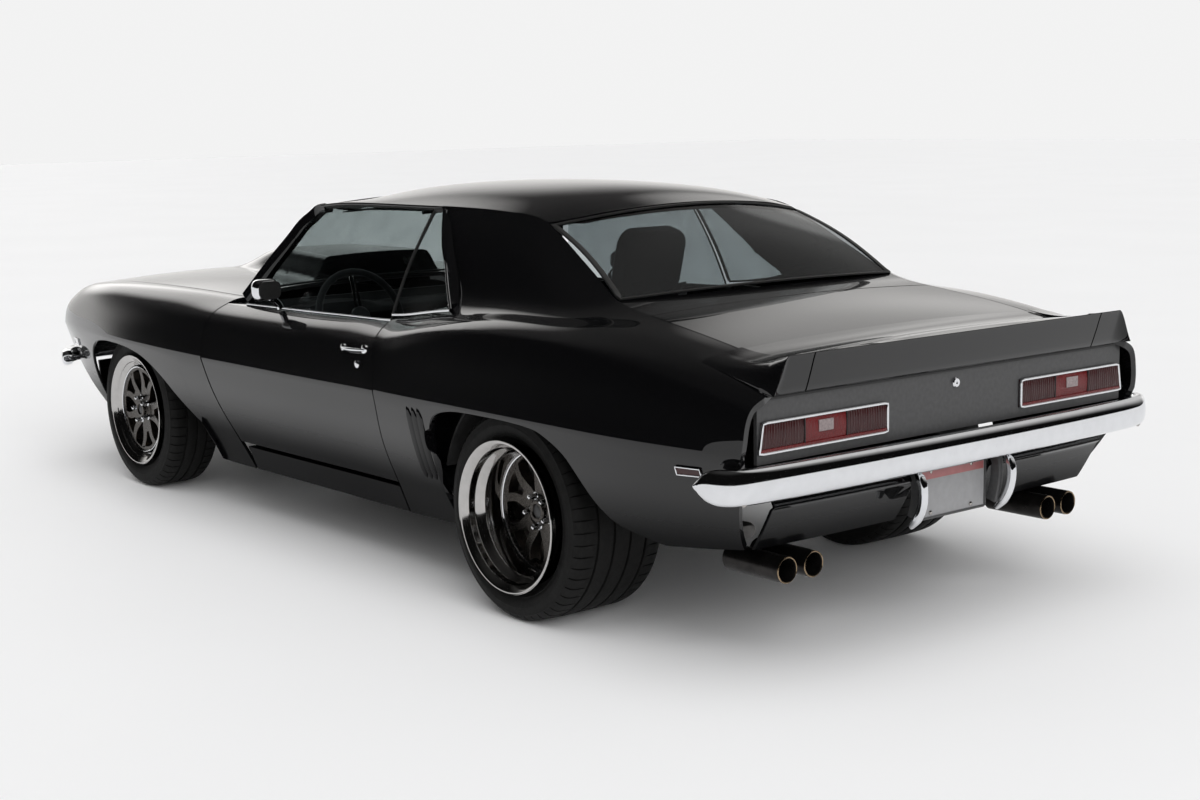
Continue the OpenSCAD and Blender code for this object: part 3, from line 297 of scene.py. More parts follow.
# ---- materials
def mat(name, col, rough=0.5, metal=0.0, coat=0.0, coatr=0.03, var=0.08, ns=25.0, rv=0.15, bump=0.0, bs=300.0, bd=0.0006, spec=0.5, ior=1.5, sheen=0.0, alpha=None, aniso=0.0, stretch=None, col2=None):
    m = bpy.data.materials.new(name); m.use_nodes = True
    nt = m.node_tree; nd = nt.nodes; lk = nt.links
    p = nd["Principled BSDF"]
    tc = nd.new("ShaderNodeTexCoord"); src = tc.outputs["Object"]
    if stretch:
        mp = nd.new("ShaderNodeMapping"); mp.inputs["Scale"].default_value = stretch
        lk.new(src, mp.inputs["Vector"]); src = mp.outputs["Vector"]
    n1 = nd.new("ShaderNodeTexNoise"); n1.inputs["Scale"].default_value = ns; n1.inputs["Detail"].default_value = 5
    lk.new(src, n1.inputs["Vector"])
    cr = nd.new("ShaderNodeValToRGB")
    c2 = col2 or tuple(min(1, c*(1+var)) for c in col)
    cr.color_ramp.elements[0].position = 0.3; cr.color_ramp.elements[1].position = 0.7
    cr.color_ramp.elements[0].color = (*[c*(1-var) for c in col], 1); cr.color_ramp.elements[1].color = (*c2, 1)
    lk.new(n1.outputs["Fac"], cr.inputs["Fac"]); lk.new(cr.outputs["Color"], p.inputs["Base Color"])
    mr = nd.new("ShaderNodeMapRange"); mr.inputs["To Min"].default_value = max(0, rough*(1-rv)); mr.inputs["To Max"].default_value = rough*(1+rv)
    n2 = nd.new("ShaderNodeTexNoise"); n2.inputs["Scale"].default_value = ns*3.1; n2.inputs["Detail"].default_value = 6
    lk.new(src, n2.inputs["Vector"]); lk.new(n2.outputs["Fac"], mr.inputs["Value"]); lk.new(mr.outputs["Result"], p.inputs["Roughness"])
    p.inputs["Metallic"].default_value = metal; p.inputs["Coat Weight"].default_value = coat; p.inputs["Coat Roughness"].default_value = coatr
    p.inputs["IOR"].default_value = ior; p.inputs["Specular IOR Level"].default_value = spec; p.inputs["Sheen Weight"].default_value = sheen
    p.inputs["Anisotropic"].default_value = aniso
    if bump:
        n3 = nd.new("ShaderNodeTexNoise"); n3.inputs["Scale"].default_value = bs; n3.inputs["Detail"].default_value = 3
        lk.new(src, n3.inputs["Vector"])
        b = nd.new("ShaderNodeBump"); b.inputs["Strength"].default_value = bump; b.inputs["Distance"].default_value = bd
        lk.new(n3.outputs["Fac"], b.inputs["Height"]); lk.new(b.outputs["Normal"], p.inputs["Normal"])
    return m

def glassmat(name, tint, rough=0.0, fres=1.45, streak=0.08):
    m = bpy.data.materials.new(name); m.use_nodes = True
    nt = m.node_tree; nd = nt.nodes; lk = nt.links
    for n in list(nd):
        nd.remove(n)
    out = nd.new("ShaderNodeOutputMaterial"); tr = nd.new("ShaderNodeBsdfTransparent"); gl = nd.new("ShaderNodeBsdfGlossy"); mx = nd.new("ShaderNodeMixShader"); lw = nd.new("ShaderNodeLayerWeight"); lw.inputs["Blend"].default_value = 0.5
    pw = nd.new("ShaderNodeMath"); pw.operation = "POWER"; pw.inputs[1].default_value = 5.0; lk_ = lw.outputs["Facing"]
    fr = nd.new("ShaderNodeMath"); fr.operation = "MULTIPLY_ADD"; fr.inputs[1].default_value = 0.6; fr.inputs[2].default_value = 0.022
    nt.links.new(lk_, pw.inputs[0]); nt.links.new(pw.outputs[0], fr.inputs[0])
    tc = nd.new("ShaderNodeTexCoord"); ns = nd.new("ShaderNodeTexNoise"); ns.inputs["Scale"].default_value = 9; ns.inputs["Detail"].default_value = 6
    lk.new(tc.outputs["Object"], ns.inputs["Vector"])
    cr = nd.new("ShaderNodeValToRGB"); cr.color_ramp.elements[0].position = 0.35; cr.color_ramp.elements[1].position = 0.65
    cr.color_ramp.elements[0].color = (*[c*(1-streak) for c in tint], 1); cr.color_ramp.elements[1].color = (*tint, 1)
    lk.new(ns.outputs["Fac"], cr.inputs["Fac"]); lk.new(cr.outputs["Color"], tr.inputs["Color"])
    mr = nd.new("ShaderNodeMapRange"); mr.inputs["To Min"].default_value = rough; mr.inputs["To Max"].default_value = rough+0.02
    lk.new(ns.outputs["Fac"], mr.inputs["Value"]); lk.new(mr.outputs["Result"], gl.inputs["Roughness"])
    lk.new(fr.outputs[0], mx.inputs["Fac"]); lk.new(tr.outputs["BSDF"], mx.inputs[1]); lk.new(gl.outputs["BSDF"], mx.inputs[2])
    lk.new(mx.outputs["Shader"], out.inputs["Surface"])
    return m

PAINT = mat("paint_black", (0.0022, 0.0022, 0.0025), rough=0.35, coat=1.0, coatr=0.010, var=0.25, ns=160, rv=0.3, bump=0.010, bs=420, bd=0.0002, spec=0.02)
# painted shade: clear-coat weight falls from 1.0 at 0.54 m height to 0.03 at 0.33 m, so the lower body reflects less,
# like a reflection of the shadowed floor beside the car
def paint_low_body_shade(m):
    nt = m.node_tree; nd = nt.nodes; lk = nt.links
    g = nd.new("ShaderNodeNewGeometry"); sx = nd.new("ShaderNodeSeparateXYZ"); lk.new(g.outputs["Position"], sx.inputs[0])
    mr = nd.new("ShaderNodeMapRange"); mr.interpolation_type = "SMOOTHSTEP"
    mr.inputs["From Min"].default_value = 0.33; mr.inputs["From Max"].default_value = 0.54; mr.inputs["To Min"].default_value = 0.03; mr.inputs["To Max"].default_value = 1.0
    lk.new(sx.outputs["Z"], mr.inputs["Value"]); lk.new(mr.outputs["Result"], nd["Principled BSDF"].inputs["Coat Weight"])
# the painted low-body shade goes on the black paint
paint_low_body_shade(PAINT)
SATIN = mat("satin_black", (0.045, 0.045, 0.046), rough=0.36, coat=0.0, var=0.15, ns=80, rv=0.12, bump=0.05, bs=900, bd=0.0003)
CHASSIS = mat("chassis_black", (0.02, 0.02, 0.02), rough=0.5, var=0.3, ns=30, rv=0.3, bump=0.15, bs=200)
CAST = mat("cast_grey", (0.16, 0.155, 0.15), rough=0.55, metal=0.8, var=0.2, ns=40, bump=0.3, bs=500)
CHROME = mat("chrome_bright", (0.78, 0.79, 0.81), rough=0.055, metal=1.0, var=0.03, ns=30, rv=0.35, bump=0.012, bs=300, bd=0.0002)
CHROMED = mat("chrome_dark", (0.42, 0.40, 0.38), rough=0.14, metal=1.0, var=0.08, ns=60, rv=0.35, bump=0.02, bs=400, bd=0.0002)
POLISH = mat("alloy_polished", (0.50, 0.49, 0.48), rough=0.10, metal=1.0, var=0.05, ns=40, rv=0.4, bump=0.02, bs=700, bd=0.0002, aniso=0.4)
SPOKE = mat("alloy_smoked", (0.085, 0.078, 0.072), rough=0.27, metal=1.0, var=0.12, ns=60, rv=0.3, bump=0.03, bs=600, bd=0.0002)
SPOKEB = mat("alloy_bronze_wall", (0.22, 0.19, 0.165), rough=0.3, metal=1.0, var=0.15, ns=60, rv=0.3, bump=0.03, bs=500, bd=0.0002)
DISC = mat("brake_disc", (0.45, 0.44, 0.43), rough=0.32, metal=1.0, var=0.12, ns=90, rv=0.3, bump=0.08, bs=900, bd=0.0003)
RUBBER = mat("tyre_rubber", (0.0055, 0.0054, 0.0052), rough=0.66, var=0.3, ns=35, rv=0.18, bump=0.2, bs=600, bd=0.0005, spec=0.22)
RUBTRIM = mat("rubber_trim", (0.010, 0.010, 0.010), rough=0.5, var=0.2, ns=60, bump=0.1, bs=500)
STEEL = mat("exhaust_black", (0.03, 0.028, 0.027), rough=0.3, metal=0.9, var=0.3, ns=30, rv=0.3, bump=0.04, bs=300)
BRONZE = mat("tip_edge", (0.34, 0.25, 0.16), rough=0.25, metal=1.0, var=0.25, ns=70, bump=0.03, bs=300)
TRIM = mat("cabin_trim", (0.014, 0.014, 0.015), rough=0.55, var=0.2, ns=60, bump=0.2, bs=420, bd=0.0004)
CLOTH = mat("seat_cloth", (0.016, 0.016, 0.017), rough=0.85, var=0.3, ns=140, bump=0.5, bs=500, bd=0.0005, sheen=0.25)
BELT = mat("harness_web", (0.03, 0.03, 0.032), rough=0.7, var=0.3, ns=500, bump=0.3, bs=600, bd=0.0004)
PLATE = mat("plate_white", (0.24, 0.24, 0.245), rough=0.45, var=0.07, ns=40, bump=0.03, bs=400, coat=0.1)
PLATER = mat("plate_band", (0.30, 0.10, 0.10), rough=0.35, var=0.12, ns=30, bump=0.03, bs=400, coat=0.3)
CARPET = mat("carpet", (0.012, 0.012, 0.012), rough=0.95, var=0.4, ns=300, bump=0.5, bs=400)
GRILL = mat("grille_black", (0.012, 0.012, 0.012), rough=0.4, var=0.2, ns=60, bump=0.1, bs=500)
CLEAR = glassmat("glass_clear", (0.75, 0.78, 0.78), streak=0.04)
TINT = glassmat("glass_tinted", (0.55, 0.58, 0.59), streak=0.04)
LAMP = mat("lamp_glass", (0.75, 0.76, 0.78), rough=0.08, metal=0.6, var=0.05, ns=50, bump=0.1, bs=250, coat=1.0)

def redmat(name, col, rough, rib):
    m = mat(name, col, rough=rough, var=0.12, ns=30, coat=0.35, coatr=0.06, bump=0.0, spec=0.3)
    nt = m.node_tree; nd = nt.nodes; lk = nt.links; p = nd["Principled BSDF"]
    w = nd.new("ShaderNodeTexWave"); w.bands_direction = "Y"; w.inputs["Scale"].default_value = rib
    tc = nd.new("ShaderNodeTexCoord"); lk.new(tc.outputs["Object"], w.inputs["Vector"])
    b = nd.new("ShaderNodeBump"); b.inputs["Strength"].default_value = 0.5; b.inputs["Distance"].default_value = 0.002
    lk.new(w.outputs["Fac"], b.inputs["Height"]); lk.new(b.outputs["Normal"], p.inputs["Normal"])
    return m
RED = redmat("red_lens", (0.10, 0.004, 0.005), 0.22, 60)
REDD = redmat("red_lens_dark", (0.028, 0.002, 0.0025), 0.3, 60)
REV = mat("reverse_lens", (0.20, 0.16, 0.16), rough=0.25, var=0.3, ns=200, coat=0.3, bump=0.3, bs=400)

# ---- body panels
def cols(K, c, n):
    """table columns resampled smoothly at the places c (0..1) of the parameter; n is not used"""
    K = np.array(K, float); i = np.arange(len(K))
    return [pch(i, K[:, q], np.asarray(c)*(len(K)-1)) for q in range(K.shape[1])]

def fine(n, k, e=1.0):
    return np.linspace(0, 1, n)

# front fender
def fender():
    n = 97; xb, tb, x3, xa = cols(FC, np.linspace(0, 1, n), n)
    j = np.linspace(0, len(FC)-1, n)
    lo = np.linspace(0, 1, 12); hi = np.linspace(3, 8, 31)[1:]
    T = np.concatenate([tb[None]+(3-tb[None])*lo[:, None], np.repeat(hi[:, None], n, 1)])
    X = np.where(T <= 3, xb+(x3-xb)*(T-tb)/np.maximum(3-tb, 1e-6), x3+(xa-x3)*(T-3)/5)
    l0 = np.where(T < 3, xb[0]+(x3[0]-xb[0])*T/3, x3[0]+(xa[0]-x3[0])*(T-3)/5)
    X = X+np.clip(1-j/4, 0, 1)*(DF(T)+3.5-l0)
    return surf(X, T, 1)
G = fender()
v, f = shellfrom(G, 12, (1430, 300, 600))
make("fenders", *join([(v, f), mir(v, f)]), PAINT, "body", ["front_fenders"], bevel=2.2, slot="black_paint")

# door skin and body
def door():
    T = np.concatenate([np.linspace(1.05, 3, 26), np.linspace(3, 5.98, 40)[1:]])
    j = np.linspace(0, 1, 70)
    a = DR(T)[:, None]+2.5; b = DF(T)[:, None]-3.5
    X = a+(b-a)*j; return surf(X, T[:, None]+0*X, 0)
G = door(); H = G.copy(); H[..., 1] = np.minimum(728, G[..., 1]-30)
H[:, :8, 0] += 26*(1-np.linspace(0, 1, 8)); H[:, -5:, 0] -= 6*np.linspace(0, 1, 5)
dv, df = slabm(G, H)
make("door_skin_left", dv, df, PAINT, "door_left_body", ["door_left"], bevel=2.2, slot="black_paint")
make("door_skin_right", *mir(dv, df), PAINT, "door_right_body", ["door_right"], bevel=2.2, slot="black_paint")

# quarter panel with shoulder and sail in one sheet
def quarter():
    n = 170
    xs6 = np.concatenate([np.linspace(-528, -900, 30), np.linspace(-900, -1080, 28)[1:], np.linspace(-1080, -1540, 32)[1:], np.linspace(-1540, -2310, 48)[1:]])
    Q = np.array(QC, float); S = np.array(SC, float)
    qj = np.interp(-xs6, -np.clip(Q[:, 2], -2310, -520), np.arange(len(Q))); n = len(xs6)
    qj = np.maximum.accumulate(qj)
    c = np.linspace(0, len(Q)-1, n)
    c = np.clip(qj, 0, len(Q)-1); c[0] = 0; c[-1] = len(Q)-1
    ii = np.arange(len(Q)); xb = pch(ii, Q[:, 0], c); tb = np.minimum(pch(ii, Q[:, 1], c), 2.985)
    x6 = xs6
    lo = np.linspace(0, 1, 14); hi = np.linspace(3, 6, 27)[1:]
    T = np.concatenate([tb[None]+(3-tb[None])*lo[:, None], np.repeat(hi[:, None], n, 1)])
    X = np.where(T <= 3, xb+(x6-xb)*(T-tb)/np.maximum(3-tb, 1e-6), x6[None]+0*T)
    w = np.clip(1-c/4, 0, 1); v = np.clip(1-(len(Q)-1-c)/4, 0, 1)
    l0 = np.where(T < 3, xb[0]+(x6[0]-xb[0])*T/3, x6[0]); l1 = np.where(T < 3, xb[-1]+(x6[-1]-xb[-1])*T/3, x6[-1])
    X = X+w*(DR(T)-2.5-l0)+v*(RR(T)-l1)
    GA = surf(X, T, 2)
    # above the crease the side always leans inward
    k0 = 14
    for k in range(k0, GA.shape[0]):
        GA[k, :, 1] = np.minimum(GA[k, :, 1], GA[k-1, :, 1]-0.045*(GA[k, :, 2]-GA[k-1, :, 2]))
    R = GA[k0-1:, :, 1]
    for _ in range(14):
        R[1:-1, 1:-1] += 0.22*(R[2:, 1:-1]+R[:-2, 1:-1]+R[1:-1, 2:]+R[1:-1, :-2]-4*R[1:-1, 1:-1])
    sj = np.interp(-xs6, -S[:, 0], np.arange(len(S))); jj = np.arange(len(S))
    xa = pch(jj, S[:, 1], sj); ta = pch(jj, S[:, 2], sj)
    s = np.linspace(0, 1, 32)[1:]
    X0 = X[-1]; T2 = 6+(ta[None]-6)*s[:, None]; X2 = X0[None]+(xa[None]-X0[None])*s[:, None]
    GB = surf(X2, T2, 2)
    return np.concatenate([GA, GB]), ta
G, ta = quarter()
th = np.full(G.shape[:2], 20.0); th[-10:] = np.linspace(20, 4, 10)[:, None]
v, f = shellfrom(G, th, (-1700, 300, 500))
make("quarters", *join([(v, f), mir(v, f)]), PAINT, "body", ["quarter_panels", "sail_panels"], bevel=2.0, slot="black_paint")

# roof
def roof():
    U = np.linspace(0, 1, 70); W = np.linspace(-2.995, 2.995, 81)
    yy = np.abs(W)/3
    X = (-1096-78*(1-yy**2))[None]*(1-U[:, None])+(240+48*(1-yy**2))[None]*U[:, None]
    c = TZ12(X); y = TY9(X); z = TZ9(X); n = X.size
    P = np.stack([np.stack([q.ravel(), r.ravel()], -1) for q, r in ((y, z), (430+0*y, c-36), (220+0*y, c-9), (0*y, c), (-220+0*y, c-9), (-430+0*y, c-36), (-y, z))], 1)
    u = np.concatenate([np.zeros((n, 1)), np.cumsum(np.linalg.norm(np.diff(P, axis=1), axis=2), 1)], 1)
    q = (3-np.repeat(W[None], len(U), 0)).ravel(); i = np.clip(np.floor(q).astype(int), 0, 5); r = np.arange(n)
    w = u[r, i]+(q-i)*(u[r, i+1]-u[r, i])
    return np.stack([X.ravel()]+[nev(u, P[:, :, k], nat(u, P[:, :, k]), w) for k in (0, 1)], -1).reshape(X.shape+(3,))
G = roof(); th = 28*np.clip(0.15+np.minimum(np.arange(81), 80-np.arange(81))*0.06, 0, 1)[None]*np.ones((70, 1))
rv, rf = shellfrom(G, th, (0, 0, 900))
pil = []
for s in (1,):
    P = spline3([(540-252*k-4*math.sin(math.pi*k), 734-150*k+10*math.sin(math.pi*k), 852+316*k) for k in (0, 0.25, 0.5, 0.75, 0.93)]+[(283, 580, 1166), (262, 574, 1182), (232, 572, 1192), (196, 572, 1196)], 26)
    V = []; sec = [(-30, 4), (-24, 9), (4, 12), (20, 12), (23, 8), (12, -22), (8, -27), (-22, -26), (-27, -22)]
    for p in P:
        V += [(p[0]+a, p[1]+b, p[2]) for a, b in sec]
    m = len(sec); W_ = np.array(V).reshape(26, m, 3); PP = np.array(P)
    for i in range(26):
        d = PP[min(i+1, 25)]-PP[max(i-1, 0)]; d /= np.linalg.norm(d); e1 = np.array([d[2], 0, -d[0]]); e1 /= np.linalg.norm(e1); e2 = np.cross(d, e1); e2 = e2 if e2[1] > 0 else -e2
        for j, (a, b) in enumerate(sec): W_[i, j] = PP[i]+e1*a*(1-0.012*i)+e2*b
    V = W_.reshape(-1, 3).tolist()
    F = [[i*m+j, i*m+(j+1) % m, (i+1)*m+(j+1) % m, (i+1)*m+j] for i in range(25) for j in range(m)]
    F = [q[::-1] for q in F]+[list(range(m)), [25*m+j for j in range(m)][::-1]]
    pil.append((np.array(V), F)); pil.append(mir(*pil[0]) if False else (np.array(V)*[1, -1, 1], [q[::-1] for q in F]))
make("roof_skin", *join([(rv, rf)]+pil), PAINT, "body", ["roof"], bevel=1.5, slot="black_paint")

# deck, hood, lid
def deckz(X, Y):
    e = REA[2][0](X); return REA[2][1](X)+16*(1-(Y/e)**2)
def hoodz(X, Y):
    e = FRO[1][0](X); return FRO[1][1](X)+26*(1-(Y/e)**2)
def scoopw(X): return 300-150*np.clip((X-760)/1050, 0, 1)
SCOOP = 96.0
def scoop(X, Y):
    w = scoopw(X)
    return SCOOP*(1-smooth(1240, 1830, X))*(1-smooth(0, 1, (np.abs(Y)-(w-62))/74))*(1-0.06*np.minimum(np.abs(Y)/300, 1)**2)*(X >= 767)
def hood():
    Y0_ = np.linspace(-1, 1, 97); xr = 745-95*(Y0_*686/690)**2
    rows = [xr, np.maximum(762, xr+6), np.full(97, 768.0)]+[np.full(97, 768+(2252-768)*s) for s in np.linspace(0, 1, 70)[1:]]
    X = np.stack(rows); Y = Y0_[None]*(FRO[1][0](X)-4.5)
    return np.stack([X, Y, hoodz(X, Y)+scoop(X, Y)], -1)
G = hood(); v, f = slabm(G, G-[0, 0, 13])
make("hood_skin", v, f, PAINT, "hood_body", ["hood"], bevel=2.0, slot="black_paint")
X = np.linspace(-1662, -2276, 40)[:, None]+np.zeros((40, 61)); Y = np.linspace(-1, 1, 61)[None]*(REA[2][0](X)-4.5)
G = np.stack([X, Y, deckz(X, Y)], -1); lv, lf = slabm(G, G-[0, 0, 16])

def spz(x, a):
    x = np.full_like(a, x)
    out = deckz(x, a)
    t = np.where(a < 690, 9-(a-622)/70, np.where(a < 750, 8-(a-692)/60, 7-(a-752)/36))
    m = a >= 620
    out[m] = surf(x[m], t[m], 2)[:, 2]
    return out
def spoiler(ys):
    ys = np.array(ys, float); a = np.abs(ys); k = 1-smooth(716, 786, a); u = np.where(a > 620, 6.0, 0.6)
    top = []
    xs = np.linspace(-2060, -2290, 24)
    for x in xs:
        top.append(np.stack([np.full_like(a, x), ys, spz(max(x, -2280), a)+u+1.0+k*(np.maximum(0, (-2060-x)*0.04)+max(0, (-2080-x)/250)**2*66)], -1))
    zt = top[-1][:, 2]
    nose = [(-2312, 0.35), (-2326, 0.72), (-2333, 0.93), (-2336, 1.0), (-2337, 0.985), (-2335, 0.94), (-2331, 0.84), (-2320, 0.52), (-2308, 0.2), (-2301, 0.03), (-2298, 0.0)]
    zr = 785.0; ztop = 786+k*108.0
    q = []
    for i, (x, fz) in enumerate(nose):
        if i < 4:
            z = zt+(ztop-zt)*fz
        else:
            z = zr+(ztop-zr)*fz
        q.append(np.stack([np.full_like(a, x), ys, z], -1))
    G = np.stack(top+q)
    bot = [np.stack([np.full_like(a, x), ys, spz(x, a)+u], -1) for x in np.linspace(-2060, -2280, 24)]
    zb = bot[-1][:, 2]
    nb = [(-2281, 1.0), (-2282, 0.95), (-2283, 0.9), (-2284, 0.8), (-2284.5, 0.7), (-2285, 0.6), (-2285.5, 0.45), (-2286, 0.3), (-2286.5, 0.18), (-2287, 0.08), (-2287.5, 0.0)]
    H = np.stack(bot+[np.stack([np.full_like(a, x), ys, zr+(zb-zr)*fz], -1) for x, fz in nb])
    return slabm(G, H)
sv_, sf_ = spoiler(np.linspace(-619, 619, 61))
make("trunk_lid_skin", *join([(lv, lf), (sv_, sf_)]), PAINT, "trunk_body", ["trunk_lid"], bevel=1.6, slot="black_paint")
ev, ef = spoiler(np.linspace(624, 776, 30))
make("spoiler_caps", *join([(ev, ef), mir(ev, ef)]), PAINT, "body", ["spoiler_ends"], bevel=1.6, slot="black_paint")
S = np.linspace(0, 1, 14)[:, None]; Q = np.linspace(-1, 1, 61)[None]; E = 1-Q**2
X = (-1508-34*E)*(1-S)-1656*S; Y = Q*(REA[2][0](X)-0.5)
G = np.stack([X, Y+0*X, deckz(X, Y)], -1); v, f = slabm(G, G-[0, 0, 12])
make("deck_skin", v, f, PAINT, "body", ["deck_panel"], bevel=1.2, slot="black_paint")

# rockers
T = np.linspace(0, 0.93, 10)[:, None]; X = np.linspace(-606, 452, 60)[None]+0*T
G = surf(X, T+0*X, 0); H = G.copy(); H[..., 1] = 646
v, f = slabm(G, H)
make("rockers", *join([(v, f), mir(v, f)]), PAINT, "body", ["rocker_panels"], bevel=3, slot="black_paint")

# ---- glass
def gl(S_, fn): return fn(S_)
def gpt(X, V, y_in, z_up, y1o, z1o, const=None):
    y0 = SIDE[6][0](X)-y_in; z0 = SIDE[6][1](X)+z_up; xt = np.clip(X, -560, 240)
    y1 = TY9(xt)+y1o if const is None else const[0]; z1 = TZ9(xt)-z1o if const is None else const[1]
    return np.stack([X, y0+(y1-y0)*V+15*np.sin(np.pi*V), z0+(z1-z0)*V], -1)
V_ = np.linspace(0, 1, 20)[:, None]; J = np.linspace(0, 1, 30)[None]
xa = -519+12*V_; xb = 488-260*V_**0.94; X = xa+(xb-xa)*J
GD = gpt(X, V_+0*X, 16, 2.5, 1, 14)
v, f = slabm(GD, GD-[0, 4.5, 2.1])
make("door_window_left", v, f, CLEAR, "door_left_body", ["door_glass_left"], slot="clear_glass")
make("door_window_right", *mir(v, f), CLEAR, "door_right_body", ["door_glass_right"], slot="clear_glass")
xb = -532+11*V_; xa = -906+322*V_; X = xa+(xb-xa)*J
GQ = gpt(X, V_+0*X, 15, 24, 0, 0, (576, 1207))
v, f = slabm(GQ, GQ-[0, 4.5, 2.1])
make("quarter_windows", *join([(v, f), mir(v, f)]), CLEAR, "body", ["quarter_glass"], slot="clear_glass")
S = np.linspace(0, 1, 24)[:, None]; Q = np.linspace(-1, 1, 61)[None]
Y = Q*(668-140*S)
G = np.stack([(692-0.0004*Y*Y)*(1-S)+(306-0.00018*Y*Y)*S+14*np.sin(np.pi*S), Y, 884*(1-S)+(1222-0.00008*Y*Y)*S+12*np.sin(np.pi*S)], -1)
v, f = slabm(G, G-[3.6, 0, 4.8])
make("windscreen", v, f, CLEAR, "body", ["windshield"], slot="clear_glass")
GW = G
Y = Q*(532+56*S); E = 1-Q**2
G = np.stack([(-1114-78*E)*(1-S)+(-1502-34*E)*S-10*np.sin(np.pi*S), Y, (1176+46*E)*(1-S)+(973+14*E)*S+16*np.sin(np.pi*S)], -1)
GB = G
v, f = slabm(G, G-[-2.7, 0, 5.4])
make("rear_window", v, f, TINT, "body", ["rear_glass"], slot="tinted_glass")

def strip(P, S_, name, m, body, both=True, rep=(), up=(0, 0, 1), closed=False):
    v, f = tube(P, S_, up=up, closed=closed)
    parts = [(v, f)]
    if both:
        parts.append((np.array(v)*[1, -1, 1], [q[::-1] for q in f]))
    return make(name, *join(parts), m, body, rep)

# black surrounds and bright mouldings around the glass
def outline(G, off=0.0):
    return np.concatenate([G[0, :], G[1:, -1], G[-1, ::-1][1:], G[:, 0][::-1][1:-1]])
P = outline(GB); strip(P, rnd(20, 7, 2.5), "rear_window_seal", RUBTRIM, "body", False, closed=True)
P = outline(GW); strip(P, rnd(20, 7, 2.5), "windscreen_seal", RUBTRIM, "body", False, closed=True)
strip(GQ[0]+[0, 3, -3], rnd(6, 8, 2), "quarter_belt_strip", CHROME, "body")
strip(np.concatenate([GQ[:, 0]]), rnd(7, 9, 2.5), "quarter_rear_strip", CHROME, "body", up=(1, 0, 0.3))
strip(GQ[:, -1], rnd(6, 14, 2), "quarter_front_seal", RUBTRIM, "body", up=(1, 0, 0))
strip(GQ[-1], rnd(8, 12, 2.5), "quarter_top_seal", RUBTRIM, "body")
for side, sg in (("left", 1), ("right", -1)):
    bd = "door_%s_body" % side
    m1 = np.array([1, sg, 1])
    strip(GD[0]*m1+[0, 3*sg, 0], rnd(6, 9, 2), "door_belt_strip_"+side, CHROME, bd, False)
    strip(GD[:, 0]*m1+[0, 0.5*sg, 0], rnd(5, 8, 2), "door_glass_edge_"+side, CHROMED, bd, False, up=(1, 0, 0))
# drip rail over the doors
xr = np.linspace(-560, 236, 60)
P = np.stack([xr, TY9(xr)+3, TZ9(xr)-5], 1)
strip(P, rnd(9, 11, 3.5), "drip_rails", PAINT, "body")
P = np.stack([xr, TY9(xr)-8, TZ9(xr)-13], 1)
strip(P, rnd(16, 7, 2.5), "roof_seals", RUBTRIM, "body")

# mirrors, handles, locks
def mirror_set(side, sg):
    bd = "door_%s_body" % side; m1 = np.array([1, sg, 1])
    prof = [(0.0, 0.55), (4, 0.86), (12, 0.985), (24, 1.0), (38, 0.97), (50, 0.86), (56, 0.6)]
    rings = []
    for x, s in prof:
        rings.append([(226-x, 838+a*s, 912+b*s) for a, b in rnd(102, 76, 26, 6)])
    R = np.array(rings); n, m = R.shape[:2]
    F = [[i*m+j, i*m+(j+1) % m, (i+1)*m+(j+1) % m, (i+1)*m+j] for i in range(n-1) for j in range(m)]
    F += [list(range(m))[::-1], [(n-1)*m+j for j in range(m)]]
    V = R.reshape(-1, 3)*m1
    if sg < 0:
        F = [q[::-1] for q in F]
    make("mirror_shell_"+side, V, F, CHROME, bd)
    g = np.array([(168.6, 838+a*0.86, 912+b*0.84) for a, b in rnd(102, 76, 26, 6)])*m1
    g2 = g-[1.6, 0, 0]
    k = len(g); F = [[j, (j+1) % k, k+(j+1) % k, k+j] for j in range(k)]+[list(range(k))[::-1], [k+j for j in range(k)]]
    make("mirror_face_"+side, np.concatenate([g, g2]), F, RUBTRIM, bd)
    P = np.array([(205, 778, 838), (206, 782, 850), (206, 792, 862), (204, 806, 874), (202, 818, 882)])*m1
    v, f = tube(spline3(P, 18), rnd(26, 13, 6), up=(1, 0, 0)); make("mirror_stalk_"+side, v, f, CHROME, bd)
    # handle: a bright pull on a base with a round lock under it
    hx = np.linspace(-545, -398, 26); sfp = surf(hx, np.full(26, 4.42), 0)
    lift = 15*np.sin(np.pi*np.linspace(0.04, 0.96, 26))**0.6
    P = (sfp+np.stack([0*lift, lift, 0*lift], 1))*m1
    v, f = tube(P, rnd(15, 11, 4.5), scale=0.75+0.25*np.sin(np.pi*np.linspace(0, 1, 26))); make("door_handle_"+side, v, f, CHROME, bd)
    for q, (hx_, t_, r_) in enumerate(((-540, 4.42, 17), (-402, 4.42, 13), (-522, 3.84, 13))):
        c = surf([hx_], [t_], 0)[0]
        v, f = rev([(0, -4), (r_, -4), (r_, 3), (r_*0.8, 5.5), (r_*0.35, 6.5), (0, 6.5)], (c[0], 0, c[2]), 32)
        v = (v+[0, c[1], 0])*m1
        f = [z[::-1] for z in f] if sg < 0 else f
        make("door_boss_%d_%s" % (q, side), v, f, CHROME, bd)
mirror_set("left", 1); mirror_set("right", -1)

